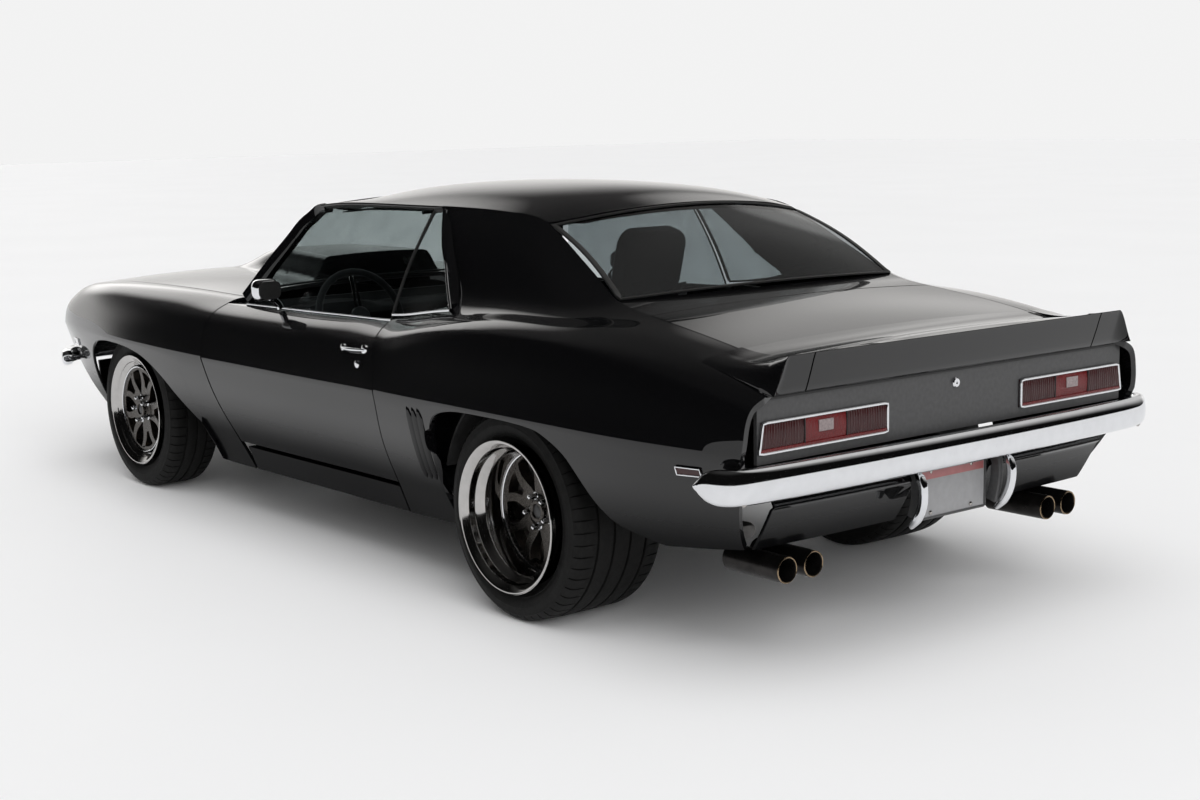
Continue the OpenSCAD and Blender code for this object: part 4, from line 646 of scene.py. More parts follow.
# ---- rear: tail panel, lamps, bumper, valance, plate
def plate_solid(x0, x1, out, inn_list, name, m, rep=()):
    pass
def ypanel(x0, x1, poly):
    k = len(poly); V = [(x0, y, z) for y, z in poly]+[(x1, y, z) for y, z in poly]
    F = [list(range(k)), [k+j for j in range(k)][::-1]]+[[j, k+j, k+(j+1) % k, (j+1) % k] for j in range(k)]
    return np.array(V, float), F
TP = []
for s in (1, -1):
    # frame pieces round each lamp opening and the middle field
    TP += [boxm(-2288, -2276, *sorted((s*289, s*0)), 606, 782), boxm(-2288, -2276, *sorted((s*289, s*776)), 718, 782), boxm(-2288, -2276, *sorted((s*289, s*776)), 606, 634), boxm(-2288, -2276, *sorted((s*776, s*789)), 606, 782)]
make("tail_field", *join(TP), SATIN, "body", ["tail_panel"], smoothit=False, slot="satin_black")
def lampset(sg, side):
    m1 = np.array([1, sg, 1])
    out = [(787, 636), (775, 716), (294, 716), (294, 636)]
    # bezel
    P = np.array([(-2294, y, z) for y, z in ((787, 635), (773, 717), (293, 717), (293, 635))], float)
    Q = []
    for i in range(4):
        a, b = P[i], P[(i+1) % 4]
        for s in np.linspace(0.03, 0.97, 10):
            Q.append(a+(b-a)*s)
    v, f = tube(np.array(Q)*m1, rnd(8, 7, 2.2), closed=True, up=(1, 0, 0)); make("lamp_bezel_"+side, v, f, CHROME, "body")
    segs = [(297, 455), (459, 617), (621, 782)]
    for i, (a, b) in enumerate(segs):
        n = 61; ys = np.linspace(a, b, n); zs = np.linspace(639, 713, 9)
        G = np.zeros((9, n, 3)); G[..., 1] = ys; G[..., 2] = zs[:, None]
        if i == 2:
            lim = 786-(zs-636)*0.14; G[..., 1] = a+(lim[:, None]-a)*np.linspace(0, 1, n)
        rib = 1.8*np.abs(np.sin(np.linspace(0, 16*np.pi, n))) if i != 1 else 0*ys
        lowr = (zs < 648)[:, None]
        G[..., 0] = -2292-np.where(lowr, 0, rib)-3*np.sin(np.pi*(zs-639)/74)[:, None]
        v, f = slabm(G*m1, G*m1+[9, 0, 0]); make("lamp_lens_%d_%s" % (i, side), v, f, RED if i == 1 else REDD, "body", angle=25)
        v, f = boxm(-2296.5, -2290, *sorted((sg*(b-0.5), sg*(b+3.5))), 638, 714); 
        if i < 2: make("lamp_bar_%d_%s" % (i, side), v, f, RUBTRIM, "body", bevel=1)
    v, f = boxm(-2297.6, -2290, *sorted((sg*510, sg*566)), 670, 702); make("reverse_square_"+side, v, f, REV, "body", bevel=1.5)
    v, f = boxm(-2296.8, -2288, *sorted((sg*297, sg*782)), 637.5, 647); make("lamp_foot_"+side, v, f, RED, "body", bevel=1.5)
    back = boxm(-2284, -2276, *sorted((sg*294, sg*786)), 637, 715); make("lamp_back_"+side, *back, REDD, "body", ["taillights"] if sg > 0 else [])
lampset(1, "left"); lampset(-1, "right")
v, f = rev([(0, 0), (15, 0), (15, 4), (12, 7), (4, 7), (4, 4), (0, 4)], (0, 0, 0), 40)
v = v@rotm("Z", 90).T+[-2288, 0, 741]; make("trunk_lock", v, f, CHROME, "body")
# black lip under the spoiler
P = [(-2292, y, 781) for y in np.linspace(-770, 770, 41)]
strip(P, rnd(10, 8, 2), "tail_upper_trim", RUBTRIM, "body", False)

BPF = [(-2190, 928), (-2226, 927), (-2258, 919), (-2282, 902), (-2297, 872), (-2305, 830), (-2311, 760), (-2317, 640), (-2323, 460), (-2327, 240), (-2328, 0)]
BPF = [(x-12.2, y-11) for x, y in BPF]
PB = spline3([(x, y, 561) for x, y in BPF]+[(x, -y, 561) for x, y in BPF[-2::-1]], 181)
BS = [(-19, 36), (-16, 44), (-8, 48.5), (2, 49), (9, 46), (14, 39), (18, 28), (20.5, 14), (21.3, 0), (20.5, -16), (18, -30), (13, -41), (5, -47), (-4, -49), (-14, -47), (-16, -44), (-6, -44), (2, -41), (9, -34), (13, -22), (15, -8), (15.5, 4), (14, 20), (10, 34), (4, 42), (-4, 44), (-12, 41), (-16, 33)]
def endround(n):
    s = np.minimum(np.arange(n), n-1-np.arange(n))/7.0
    return np.clip(np.sqrt(np.clip(1-(1-np.clip(s, 0, 1))**2, 0.03, 1)), 0.2, 1)
v, f = tube(PB, BS)
sc = endround(181)
V = np.array(v).reshape(181, len(BS), 3); V = PB[:, None]+(V-PB[:, None])*np.stack([np.ones(181), np.ones(181), sc], 1)[:, None]
make("rear_bumper_bar", V.reshape(-1, 3), f, CHROME, "body", ["rear_bumper"], slot="chrome")
for sg, side in ((1, "left"), (-1, "right")):
    P = spline3([(-2318, 196*sg, 510), (-2335, 196*sg, 488), (-2341, 195*sg, 452), (-2336, 193*sg, 415), (-2320, 191*sg, 380), (-2292, 188*sg, 347)], 30)
    v, f = tube(P, rnd(26, 24, 8), up=(1, 0, 0.2), scale=np.interp(np.arange(30), [0, 3, 24, 29], [0.55, 1, 1, 0.6])); make("bumper_guard_"+side, v, f, CHROME, "body")
    P = spline3([(-2296, 178*sg, 505), (-2302, 176*sg, 470), (-2300, 174*sg, 420), (-2288, 174*sg, 372)], 14)
    v, f = tube(P, rnd(20, 34, 4), up=(1, 0, 0.2)); make("guard_bracket_"+side, v, f, SATIN, "body")
    for i, (y, z, xo) in enumerate(((770, 552, -2338), (560, 556, -2343), (420, 530, -2338), (250, 540, -2346), (860, 520, -2318))):
        v, f = rev([(0, 0), (10, 0), (10, 3), (7, 6), (0, 7)], (0, 0, 0), 24)
        v = v@rotm("Z", 90).T+[xo+6, y*sg, z]; make("bumper_bolt_%d_%s" % (i, side), v, f, CHROMED, "body")

def valance(y0, y1):
    q = np.linspace(0, 1, 50); ys = y0+(y1-y0)*q
    prof = [(-2262, 512), (-2268, 500), (-2276, 486), (-2278, 480), (-2270, 474), (-2266, 470), (-2262, 462), (-2250, 440), (-2234, 412), (-2216, 382), (-2203, 362), (-2196, 352)]
    e = 1-(ys/712)**4; G = np.stack([np.stack([x-14*e, ys, np.full_like(ys, z)], -1) for x, z in prof])
    return slabm(G, G+[12, 0, 0])
make("rear_valance_skin", *join([valance(-712, -166), valance(166, 712)]), PAINT, "body", ["rear_valance"], bevel=1.5, slot="black_paint")
# plate: blank field with a coloured band and a thin satin black frame
PZ = lambda z: -2276-(z-356)*0.0
pv = []
v, f = boxm(-2276, -2274, -152, 152, 357, 508); make("plate_field", v, f, PLATE, "body", ["licence_plate"], bevel=0.6, smoothit=False)
v, f = boxm(-2276.6, -2275.5, -146, 146, 470, 503); make("plate_band", v, f, PLATER, "body", smoothit=False)
Q = []
C = [(-152, 357), (152, 357), (152, 508), (-152, 508)]
for i in range(4):
    a, b = np.array(C[i]), np.array(C[(i+1) % 4])
    for s in np.linspace(0.02, 0.98, 12): Q.append((-2278, *(a+(b-a)*s)))
v, f = tube(Q, rnd(7, 5, 1.8), closed=True, up=(1, 0, 0)); make("plate_frame", v, f, SATIN, "body")
for y in (-88.9, 88.9):
    for z in (371.7, 492.3):
        v, f = rev([(0, 0), (6, 0), (6, 2.5), (3, 4), (0, 4)], (0, 0, 0), 20); v = v@rotm("Z", 90).T+[-2276, y, z]; make("plate_bolt_%d_%d" % (y > 0, z > 400), v, f, CHROMED, "body")

# side markers
def marker(xs, ts, zone, mt, nm):
    X, T = np.meshgrid(xs, ts); G = surf(X, T, zone)
    for s in (1, -1):
        m1 = np.array([1, s, 1]); n = gnorm(G); n = n if n[0, 0, 1] > 0 else -n
        v, f = slabm((G+n*4)*m1, (G-n*1)*m1); make("%s_lens_%d" % (nm, s > 0), v, f, mt, "body", ["side_markers"] if s > 0 and nm == "marker_rear" else [], bevel=1)
        P = outline(G+n*4)*m1; v, f = tube(P, rnd(4.5, 5, 1.5), closed=True, up=(0, 1, 0)); make("%s_frame_%d" % (nm, s > 0), v, f, CHROME, "body")
marker(np.linspace(-2160, -2080, 12), np.linspace(2.42, 2.61, 5), 2, REDD, "marker_rear")
marker(np.linspace(1962, 2042, 12), np.linspace(2.42, 2.61, 5), 1, LAMP, "marker_front")

# gill slots ahead of the rear wheel
for k in range(3):
    for s in (1, -1):
        m1 = np.array([1, s, 1])
        xc = -838-k*31; t = np.linspace(1.35, 2.86, 40); u = np.linspace(0, 1, 9)
        fade = np.clip(np.minimum((t-1.35)/0.2, (2.86-t)/0.2), 0, 1)**0.5
        X = xc-22*u[None]*fade[:, None]-4*(2.86-t)[:, None]; T = t[:, None]+0*X
        G = surf(X, T, 2); n = gnorm(G); n = n if n[20, 4, 1] > 0 else -n
        h = (8.5*(1-u)**0.5*np.minimum(1, u*14))[None]*fade[:, None]
        v, f = slabm((G+n*(h[..., None]+0.3))*m1, (G-n*2)*m1); make("gill_%d_%d" % (k, s > 0), v, f, PAINT, "body", angle=50)
        # dark rubber-trim strip just ahead of each louver: painted shade standing in for the open slot
        X = xc+2+6*u[None]*fade[:, None]-4*(2.86-t)[:, None]; G = surf(X, T, 2); n = gnorm(G); n = n if n[20, 4, 1] > 0 else -n
        v, f = slabm((G+n*0.6)*m1, (G-n*2)*m1); make("gill_gap_%d_%d" % (k, s > 0), v, f, RUBTRIM, "body")

# rolled lips round the wheel openings
def lip(P, nm):
    P = spline3(P, 120)
    v, f = tube(P, circ(2.6, 10), up=(0, 1, 0)); make(nm, *join([(v, f), mir(v, f)]), PAINT, "body")
c = np.linspace(4, len(QC)-7, 60); ii = np.arange(len(QC)); Q = np.array(QC, float)
lip(surf(pch(ii, Q[:, 0], c), np.minimum(pch(ii, Q[:, 1], c), 2.985), 2)-[0, 4, 0], "rear_arch_lips")
Q = np.array(FC, float); ii = np.arange(len(FC)); c = np.linspace(3, 19, 60)
lip(surf(pch(ii, Q[:, 0], c), pch(ii, Q[:, 1], c), 1)-[0, 4, 0], "front_arch_lips")

# ---- front end
def nosex(y): return 2320-0.00016*y*y-(np.maximum(np.abs(y)-420, 0)/300)**2*26
ys = np.linspace(-560, 560, 81); q = np.abs(ys)/560
base = [[(2256, 760-8*a+28*(1-a*a)) for a in q]]
for i, (dx, z) in enumerate(((40, 752), (74, 730), (84, 700), (84, 664))):
    k = (1-(i+1)/3) if i < 1 else (1-2/3 if i == 1 else 0)
    base.append([(nosex(y)-84+dx, z-(8*a if i < 2 else 0)+28*(1-a*a)*k) for y, a in zip(ys, q)])
B = np.array(base)
G = np.zeros((25, 81, 3))
for j in range(81):
    c = spline3(np.c_[B[:, j], np.zeros(5)], 25); G[:, j, 0] = c[:, 0]; G[:, j, 2] = c[:, 1]
G[..., 1] = ys
v, f = shellfrom(G, 12, (2200, 0, 640))
yv = np.linspace(-600, 600, 81); zv = [(14, 440), (6, 400), (-6, 340), (-24, 300), (-44, 262)]
G = np.stack([np.stack([nosex(yv)+a-20, yv, np.full_like(yv, z)], -1) for a, z in zv])
v2, f2 = slabm(G, G-[14, 0, 0])
make("nose_skin", *join([(v, f), (v2, f2)]), PAINT, "body", ["nose_panel"], bevel=2, slot="black_paint")
gp = [boxm(2200, 2206, -640, 640, 520, 690)]
for z in np.arange(528, 684, 11): gp.append(tube([(2222-0.00002*y*y, y, z) for y in np.linspace(-480, 480, 21)], rnd(3, 5, 1)))
for y in np.arange(-480, 481, 60): gp.append(boxm(2206, 2226, y-2, y+2, 524, 688))
make("grille_mesh", *join(gp), GRILL, "body", ["grille"])
Q = []
for i, (a, b) in enumerate([((-478, 526), (478, 526)), ((478, 526), (478, 686)), ((478, 686), (-478, 686)), ((-478, 686), (-478, 526))]):
    for s in np.linspace(0.02, 0.98, 16): Q.append((2229, a[0]+(b[0]-a[0])*s, a[1]+(b[1]-a[1])*s))
v, f = tube(Q, rnd(7, 8, 2), closed=True, up=(1, 0, 0)); make("grille_surround", v, f, CHROME, "body")
for s in (1, -1):
    R = rotm("Z", -90)
    a = rev([(0, 27), (20, 29), (44, 26), (60, 20), (66, 12), (66, 0), (0, 0)], (0, 0, 0), 64); make("lamp_face_%d" % (s > 0), a[0]@R.T+[2236, 560*s, 592], a[1], LAMP, "body", ["headlamps"] if s > 0 else [])
    a = rev([(62, 0), (62, 22), (65, 29), (70, 29), (74, 22), (75, 0)], (0, 0, 0), 64); make("lamp_ring_%d" % (s > 0), a[0]@R.T+[2236, 560*s, 592], a[1], CHROME, "body")
FBP = [(2076, 809), (2126, 793), (2172, 772), (2214, 743), (2250, 700), (2278, 626), (2300, 485), (2318, 340), (2328, 175), (2333, 0)]
PF = spline3([(x, -y, 482) for x, y in FBP]+[(x, y, 482) for x, y in FBP[-2::-1]], 161)
SF = [(-16, -30), (4, -37), (17, -33), (23, -24), (27, -8), (28, 6), (26, 20), (20, 31), (4, 38), (-16, 32), (-14, 29), (4, 33), (15, 27), (21, 17), (22, 6), (21, -8), (17, -20), (12, -28), (4, -32), (-14, -27)]
V, f = tube(PF, SF)
sc = np.interp(np.minimum(np.arange(161), 160-np.arange(161)), [0, 1, 3, 6], [0.45, 0.72, 0.92, 1])
V = np.array(V).reshape(161, len(SF), 3); V = PF[:, None]+(V-PF[:, None])*np.stack([np.ones(161), np.ones(161), sc], 1)[:, None]
make("front_bumper_bar", V.reshape(-1, 3), f, CHROME, "body", ["front_bumper"], slot="chrome")
for s in (1, -1):
    a = boxm(2120, 2284, *sorted((332*s, 388*s)), 470, 500); make("bumper_arm_%d" % (s > 0), *a, SATIN, "body", bevel=4)

# ---- wheels and tyres
WB_F, WB_R, TR = 1430, -1313, 326
def wheel_parts(x0, sg, r, c, w, off, disc, body, cad, rear):
    out = []
    tag = body[:-5]
    def put(VF, mt, nm, rep=(), **k):
        V = np.asarray(VF[0], float)*[1, sg, 1]+[x0, 0, TR]
        F = [list(q)[::-1] for q in VF[1]] if sg < 0 else VF[1]
        return make(tag+"_"+nm, V, F, mt, body, rep, **k)
    C = (0, c, 0)
    back = [(r-3, w-1), (r-1, w+0.5), (r+0.5, w-1.5), (r-0.5, w-6), (r-6, w-12), (r-16, w-22), (r-26, w-46), (r-30, 0), (r-18, -w+24), (r-2, -w+4), (r-2, -w), (r-12, -w), (r-28, -w+22), (r-52, -8)]
    if rear:
        prof = back+[(r-52, off+8), (r-51, off+14), (r-48, off+16), (r-47.5, off+40), (r-47, w-69), (r-46, w-66.5), (r-44.5, w-64), (r-37, w-54), (r-29.5, w-46.5), (r-27.4, w-43.5), (r-26.6, w-40), (r-26, w-22), (r-25.4, w-19.5), (r-23.5, w-17), (r-16, w-9), (r-9.5, w-2.6), (r-8, w-1.5), (r-6, w-0.8)]
    else:
        prof = back+[(r-52, off-14), (r-51, off-6), (r-48, off+8), (r-46, off+13), (r-43, off+16), (r-36, w-24), (r-32, w-20.5), (r-29.5, w-18.8), (r-28.6, w-16.5), (r-27.6, w-14.8), (r-25, w-13.2), (r-16, w-7), (r-9.5, w-2.4), (r-8, w-1.5), (r-6, w-0.8)]
    put(rev(prof, C, 144), POLISH, "rim", [cad], angle=24)
    # small beads between rim and centre
    put(rev([(r-50.2, off+11), (r-49, off+16.5), (r-51.5, off+18), (r-54.5, off+16.5), (r-55.5, off+8), (r-55.5, off-2), (r-50.2, off-4)], C, 144), CHROME, "centre_edge", angle=20)
    ro = r-54.5
    put(rev([(ro+0.5, off-16), (ro+0.5, off+9), (ro-1.5, off+11.5), (ro-9, off+10.5), (ro-11, off+8), (ro-11, off-16)], C, 144), SPOKE, "centre_ring", angle=24, bevel=0.8)
    # five spokes, each with a window
    n = 18
    def spoke(a0):
        ho, hi = math.radians(27), math.radians(35)
        oc = []
        for s in np.linspace(-1, 1, n): oc.append((ro-4, s*ho))
        for s in np.linspace(0, 1, n)[1:-1]: oc.append(((ro-4)*(1-s)+60*s, ho+(hi-ho)*s-math.radians(9)*math.sin(math.pi*s)))
        for s in np.linspace(1, -1, n): oc.append((60, s*hi))
        for s in np.linspace(1, 0, n)[1:-1]: oc.append(((ro-4)*(1-s)+60*s, -(ho+(hi-ho)*s-math.radians(9)*math.sin(math.pi*s))))
        m = len(oc); ic = []
        R1, R0 = ro-16, 98
        for s in np.linspace(-1, 1, n): ic.append((R1-3*abs(s)**6*2, s*math.radians(15.5)))
        for s in np.linspace(0, 1, n)[1:-1]: ic.append((R1*(1-s)+R0*s, math.radians(15.5)*(1-s)+math.radians(6)*s-math.radians(1.5)*math.sin(math.pi*s)))
        for s in np.linspace(1, -1, n): ic.append((R0, s*math.radians(6)))
        for s in np.linspace(1, 0, n)[1:-1]: ic.append((R1*(1-s)+R0*s, -(math.radians(15.5)*(1-s)+math.radians(6)*s-math.radians(1.5)*math.sin(math.pi*s))))
        def P(rr, aa, y): return (rr*math.cos(aa+a0), c+y, rr*math.sin(aa+a0))
        def face(rr): return off+7.5+3.0*math.cos(min(1, max(0, (rr-60)/(ro-64)))*math.pi)*-1
        V = [P(a, b, face(a)) for a, b in oc]+[P(a, b, face(a)) for a, b in ic]
        V += [P(a, b, off-30) for a, b in ic]+[P(a, b, off-30) for a, b in oc]
        F = []
        for i in range(4):
            A, Bq = i*m, ((i+1) % 4)*m
            for j in range(m):
                k = (j+1) % m; F.append([A+j, Bq+j, Bq+k, A+k])
        return np.array(V), F
    so = put(join([spoke(math.radians(90+72*i+(8 if rear else 20))) for i in range(5)]), SPOKE, "spokes", bevel=2.0, angle=30)
    so.data.materials.append(SPOKEB)
    for pg in so.data.polygons: pg.material_index = 1 if abs(pg.normal.y) < 0.5 else 0
    put(rev([(20.5, off-24), (64, off-24), (64, off+2), (61, off+5), (40, off+6), (36, off+9), (35, off+20), (32, off+23), (24, off+23), (21, off+20), (20.5, off+10)], C, 72), SPOKE, "hub", bevel=0.8)
    put(rev([(0, off+12), (21, off+12), (21, off+17), (17, off+19), (0, off+20)], C, 48), SATIN, "hub_cap")
    nuts = []
    for i in range(5):
        a = math.radians(72*i+54+(8 if rear else 20)); cx, cz = 49*math.cos(a), 49*math.sin(a)
        nuts.append(rev([(0, off+4), (11.5, off+4), (11.5, off+8), (9.5, off+10), (9.2, off+30), (7.5, off+34), (3.5, off+36), (0, off+36)], (cx, c, cz), 6))
        nuts.append(rev([(9, off+4), (13.5, off+4), (13.5, off+7), (11, off+9), (9, off+9)], (cx, c, cz), 24))
    put(join(nuts), CHROME, "nuts", bevel=0.7, angle=25)
    dy = disc
    put(rev([(66, dy+2), (148, dy+2), (150, dy+4), (150, dy+9), (148, dy+11), (66, dy+11)], C, 96), DISC, "disc_outer", bevel=0.5)
    put(rev([(66, dy-11), (148, dy-11), (150, dy-9), (150, dy-4), (148, dy-2), (66, dy-2)], C, 96), DISC, "disc_inner", bevel=0.5)
    put(rev([(20.3, dy-10), (68, dy-10), (68, dy+10), (60, dy+12), (60, off-24), (20.3, off-24)], C, 64), CAST, "disc_hat", bevel=0.5)
    vanes = []
    for i in range(36):
        a = math.radians(10*i); ca, sa = math.cos(a), math.sin(a)
        V = [(rr*ca-tt*sa, c+y, rr*sa+tt*ca) for rr in (74, 144) for tt in (-1.6, 1.6) for y in (dy-3, dy+3)]
        vanes.append((np.array(V), [[0, 1, 3, 2], [4, 6, 7, 5], [0, 4, 5, 1], [2, 3, 7, 6], [0, 2, 6, 4], [1, 5, 7, 3]]))
    put(join(vanes), CAST, "disc_vanes", smoothit=False)
def tyre_mesh(x0, sg, R, r, c, w, body, cad, pitch, grooves):
    side = [(r-20, w-40), (r-12, w-33), (r-4, w-27), (r+1.5, w-16), (r+3, w-11), (r+7, w-7), (r+10, w-4), (r+12, w-4.5), (r+14, w-2), (r+26, w+2.6), (r+36, w+4.6), (r+42, w+5.2), (r+43, w+4.6), (r+45, w+4.6), (R-36, w+3.2), (R-27, w+0.5), (R-24, w+0.6), (R-22, w-1.5), (R-15, w-6), (R-9, w-12), (R-5, w-19)]
    n0 = len(side)
    edge = w-19
    tread = [(R-3.4, w-24), (R-2.2, w-32)]
    ys = [y for g in grooves for y in (g+6, g+4.6, g+3.8, g-3.8, g-4.6, g-6)]
    allp = []
    for g in sorted(grooves, reverse=True):
        allp += [(g+6.5, 0), (g+5, 0.4), (g+3.9, 7.0), (g-3.9, 7.0), (g-5, 0.4), (g-6.5, 0)]
    crown = lambda y: R-0.4-2.2*(y/(w-30))**4 if abs(y) < w-30 else R-2.6
    mid = []
    last = w-34
    for y, d in allp:
        mid.append((crown(y)-d, y))
    left = [(rr, -y) for rr, y in reversed(side)]
    tl = [(R-2.2, -(w-32)), (R-3.4, -(w-24))]
    prof = side+tread+mid+tl+left+[(r-24, -10), (r-24, 10)]
    m = len(prof); prof = np.array(prof)
    amt = np.zeros(m)
    sh = [i for i in range(m) if (prof[i, 0] > R-16 and abs(prof[i, 1]) > w-60)]
    for i in sh: amt[i] = 5.5 if abs(prof[i, 1]) > w-34 else 4.5
    # a row of short cuts also crosses the ribs
    N = pitch; A, D = [], []
    st = 2*math.pi/N; gw = 2.6/R
    for k in range(N):
        a = k*st
        for da, dd in ((0, 0), (0.35*gw, 1), (1.65*gw, 1), (2*gw, 0), (0.5*st+gw, 0)):
            A.append(a+da); D.append(dd)
    A, D = np.array(A), np.array(D)
    rr = prof[None, :, 0]-amt[None]*D[:, None]
    V = np.stack([rr*np.cos(A)[:, None], np.repeat(prof[None, :, 1]+c, len(A), 0), rr*np.sin(A)[:, None]], -1).reshape(-1, 3)
    n = len(A); F = []
    for i in range(n):
        a = i*m; b = ((i+1) % n)*m
        for j in range(m):
            k = (j+1) % m; F.append([a+j, a+k, b+k, b+j])
    ar = sum(prof[j][0]*prof[(j+1) % m][1]-prof[(j+1) % m][0]*prof[j][1] for j in range(m))
    if ar < 0: F = [q[::-1] for q in F]
    V = V*[1, sg, 1]+[x0, 0, TR]
    if sg < 0: F = [q[::-1] for q in F]
    make(cad+"_rubber", V, F, RUBBER, body, [cad], angle=34, slot="rubber")
for sg, sd, c1 in ((1, "left", "l"), (-1, "right", "r")):
    wheel_parts(WB_F, sg, 230, 685, 122, 76, 10, "wheel_f%s_body" % c1, "wheel_front_"+sd, False)
    wheel_parts(WB_R, sg, 235, 712, 190, 44, -120, "wheel_r%s_body" % c1, "wheel_rear_"+sd, True)
    tyre_mesh(WB_F, sg, TR, 232, 685, 108, "wheel_f%s_body" % c1, "tyre_front_"+sd, 52, (-46, 0, 46))
    tyre_mesh(WB_R, sg, TR, 237, 706, 168, "wheel_r%s_body" % c1, "tyre_rear_"+sd, 54, (-92, -31, 31, 92))

# ---- exhaust
ex = []
for s in (1, -1):
    for y in (518, 620):
        a = rev([(31.5, 4), (33, 0.8), (35.5, 0), (37.5, 1.5), (38, 5), (38, 218), (33.5, 218), (33.5, 90), (32, 60)], (0, 0, 0), 56)
        R = rotm("Z", -90); V = a[0]@R.T+[-2230, y*s, 286]
        make("exhaust_tip_%d_%d" % (s > 0, y), V, a[1], STEEL, "body", ["exhaust_tips"] if (s > 0 and y == 518 and "exhaust_tips" in N) else [])
        a = rev([(33.6, -0.4), (35.6, -1.4), (37.2, -0.4), (37.4, 1.6), (35.5, 1), (33.7, 1.6)], (0, 0, 0), 56); make("exhaust_edge_%d_%d" % (s > 0, y), a[0]@R.T+[-2230, y*s, 286], a[1], BRONZE, "body")
        a = rev([(0, 150), (33, 150), (33, 153), (0, 153)], (0, 0, 0), 40); make("exhaust_core_%d_%d" % (s > 0, y), a[0]@R.T+[-2230, y*s, 286], a[1], RUBTRIM, "body")
    P = [(x, 565*s, 329) for x in (-1962, -1956, -1944, -1738, -1726, -1720)]
    v, f = tube(P, rnd(190, 46, 22, 8), scale=[0.8, 0.94, 1, 1, 0.94, 0.8]); make("silencer_%d" % (s > 0), v, f, CAST, "body", ["exhaust"] if s > 0 else [], angle=30)
    P = spline3([(600, 440*s, 222), (200, 440*s, 222), (-300, 440*s, 222), (-740, 440*s, 222)], 20)
    v, f = tube(P, circ(27, 24)); make("pipe_%d" % (s > 0), v, f, CAST, "body")
    P = [(x, 450*s, 222) for x in (-764, -756, -748, -882, -876)]
    P = [(x, 450*s, 223) for x in (-884, -878, -868, -772, -762, -756)]
    v, f = tube(P, rnd(138, 56, 26, 8), scale=[0.8, 0.93, 1, 1, 0.93, 0.8]); make("resonator_%d" % (s > 0), v, f, CAST, "body", angle=30)

# ---- engine
en = []
def rz(prof, c, n=64):
    a = rev([(r_, z_) for r_, z_ in prof], (0, 0, 0), n); R = rotm("X", 90); return a[0]@R.T+np.array(c, float), a[1]
def rx(prof, c, n=64):
    a = rev(prof, (0, 0, 0), n); R = rotm("Z", -90); return a[0]@R.T+np.array(c, float), a[1]
def prism(poly, x0, x1):
    k = len(poly); V = [(x0, y, z) for y, z in poly]+[(x1, y, z) for y, z in poly]
    return np.array(V, float), [list(range(k)), [k+j for j in range(k)][::-1]]+[[j, k+j, k+(j+1) % k, (j+1) % k] for j in range(k)]
v, f = prism([(-120, 300), (120, 300), (150, 400), (160, 470), (235, 545), (140, 640), (80, 590), (-80, 590), (-140, 640), (-235, 545), (-160, 470), (-150, 400)], 860, 1410)
make("engine_casting", v, f, CAST, "body", ["engine_block"], bevel=8)
v, f = prism([(-115, 284), (115, 284), (135, 330), (135, 372), (-135, 372), (-135, 330)], 900, 1380); make("oil_pan", v, f, CHASSIS, "body", bevel=12)
v, f = prism([(-165, 330), (0, 300), (165, 330), (200, 420), (160, 560), (0, 600), (-160, 560), (-200, 420)], 784, 858); make("bell_housing", v, f, CAST, "body", bevel=10)
for s in (1, -1):
    R = rotm("X", -45*s)
    vc = []
    P = [(x, 0, 0) for x in (880, 886, 896, 1384, 1394, 1400)]
    v, f = tube(P, rnd(112, 66, 26, 8), scale=[0.8, 0.94, 1, 1, 0.94, 0.8]); V = v@R.T+[0, 208*s, 612]; make("rocker_cover_%d" % (s > 0), V, f, CHROME, "body", angle=30)
    fins = [xform(tube([(905, y, 33), (1375, y, 33)], rnd(4, 6, 1.5)), R, (0, 208*s, 612)) for y in (-30, -15, 0, 15, 30)]
    make("rocker_fins_%d" % (s > 0), *join(fins), POLISH, "body")
    for k in range(4):
        x = 930+k*125
        P = spline3([(x, 238*s, 520), (x+4, 262*s, 500), (x-4, 272*s, 460), (x-20, 262*s, 400), (x-40, 240*s, 350)], 14)
        v, f = tube(P, circ(19, 18), up=(1, 0, 0.1)); make("header_%d_%d" % (k, s > 0), v, f, STEEL, "body")
        P = spline3([(1120+30*(k-1.5), 60*s, 690), (x, 130*s, 705), (x, 190*s, 668), (x, 205*s, 640)], 14)
        v, f = tube(P, circ(4, 10), up=(1, 0, 0.1)); make("plug_lead_%d_%d" % (k, s > 0), v, f, PLATER, "body")
v, f = prism([(-110, 560), (110, 560), (88, 640), (60, 664), (-60, 664), (-88, 640)], 900, 1370); make("intake_manifold", v, f, POLISH, "body", bevel=10)
v, f = rz([(0, 690), (150, 690), (166, 694), (168, 700), (160, 702), (160, 742), (168, 744), (166, 750), (148, 754), (40, 756), (0, 756)], (1150, 0, 0)); 
make("air_cleaner", v, f, CHROME, "body")
v, f = rz([(0, 757), (8, 757), (8, 762), (0, 762)], (1150, 0, 0), 24); make("air_cleaner_nut", v, f, CHROMED, "body")
v, f = rz([(60, 655), (74, 660), (74, 690), (60, 690)], (1150, 0, 0)); make("carburettor", v, f, POLISH, "body")
fan = []
for k in range(6):
    a = math.radians(60*k); R = rotm("X", 60*k)
    V = []
    for rr, hw, tw in ((52, 22, 10), (110, 34, 14), (170, 40, 12), (205, 30, 9)):
        V += [(-tw, -hw, rr), (tw, hw, rr), (tw+3, hw, rr), (-tw+3, -hw, rr)]
    F = [[i*4+j, i*4+(j+1) % 4, i*4+4+(j+1) % 4, i*4+4+j] for i in range(3) for j in range(4)]+[[0, 3, 2, 1], [12, 13, 14, 15]]
    fan.append((np.array(V, float)@R.T+[1536, 0, 500], F))
make("fan_blades", *join(fan), SATIN, "body")
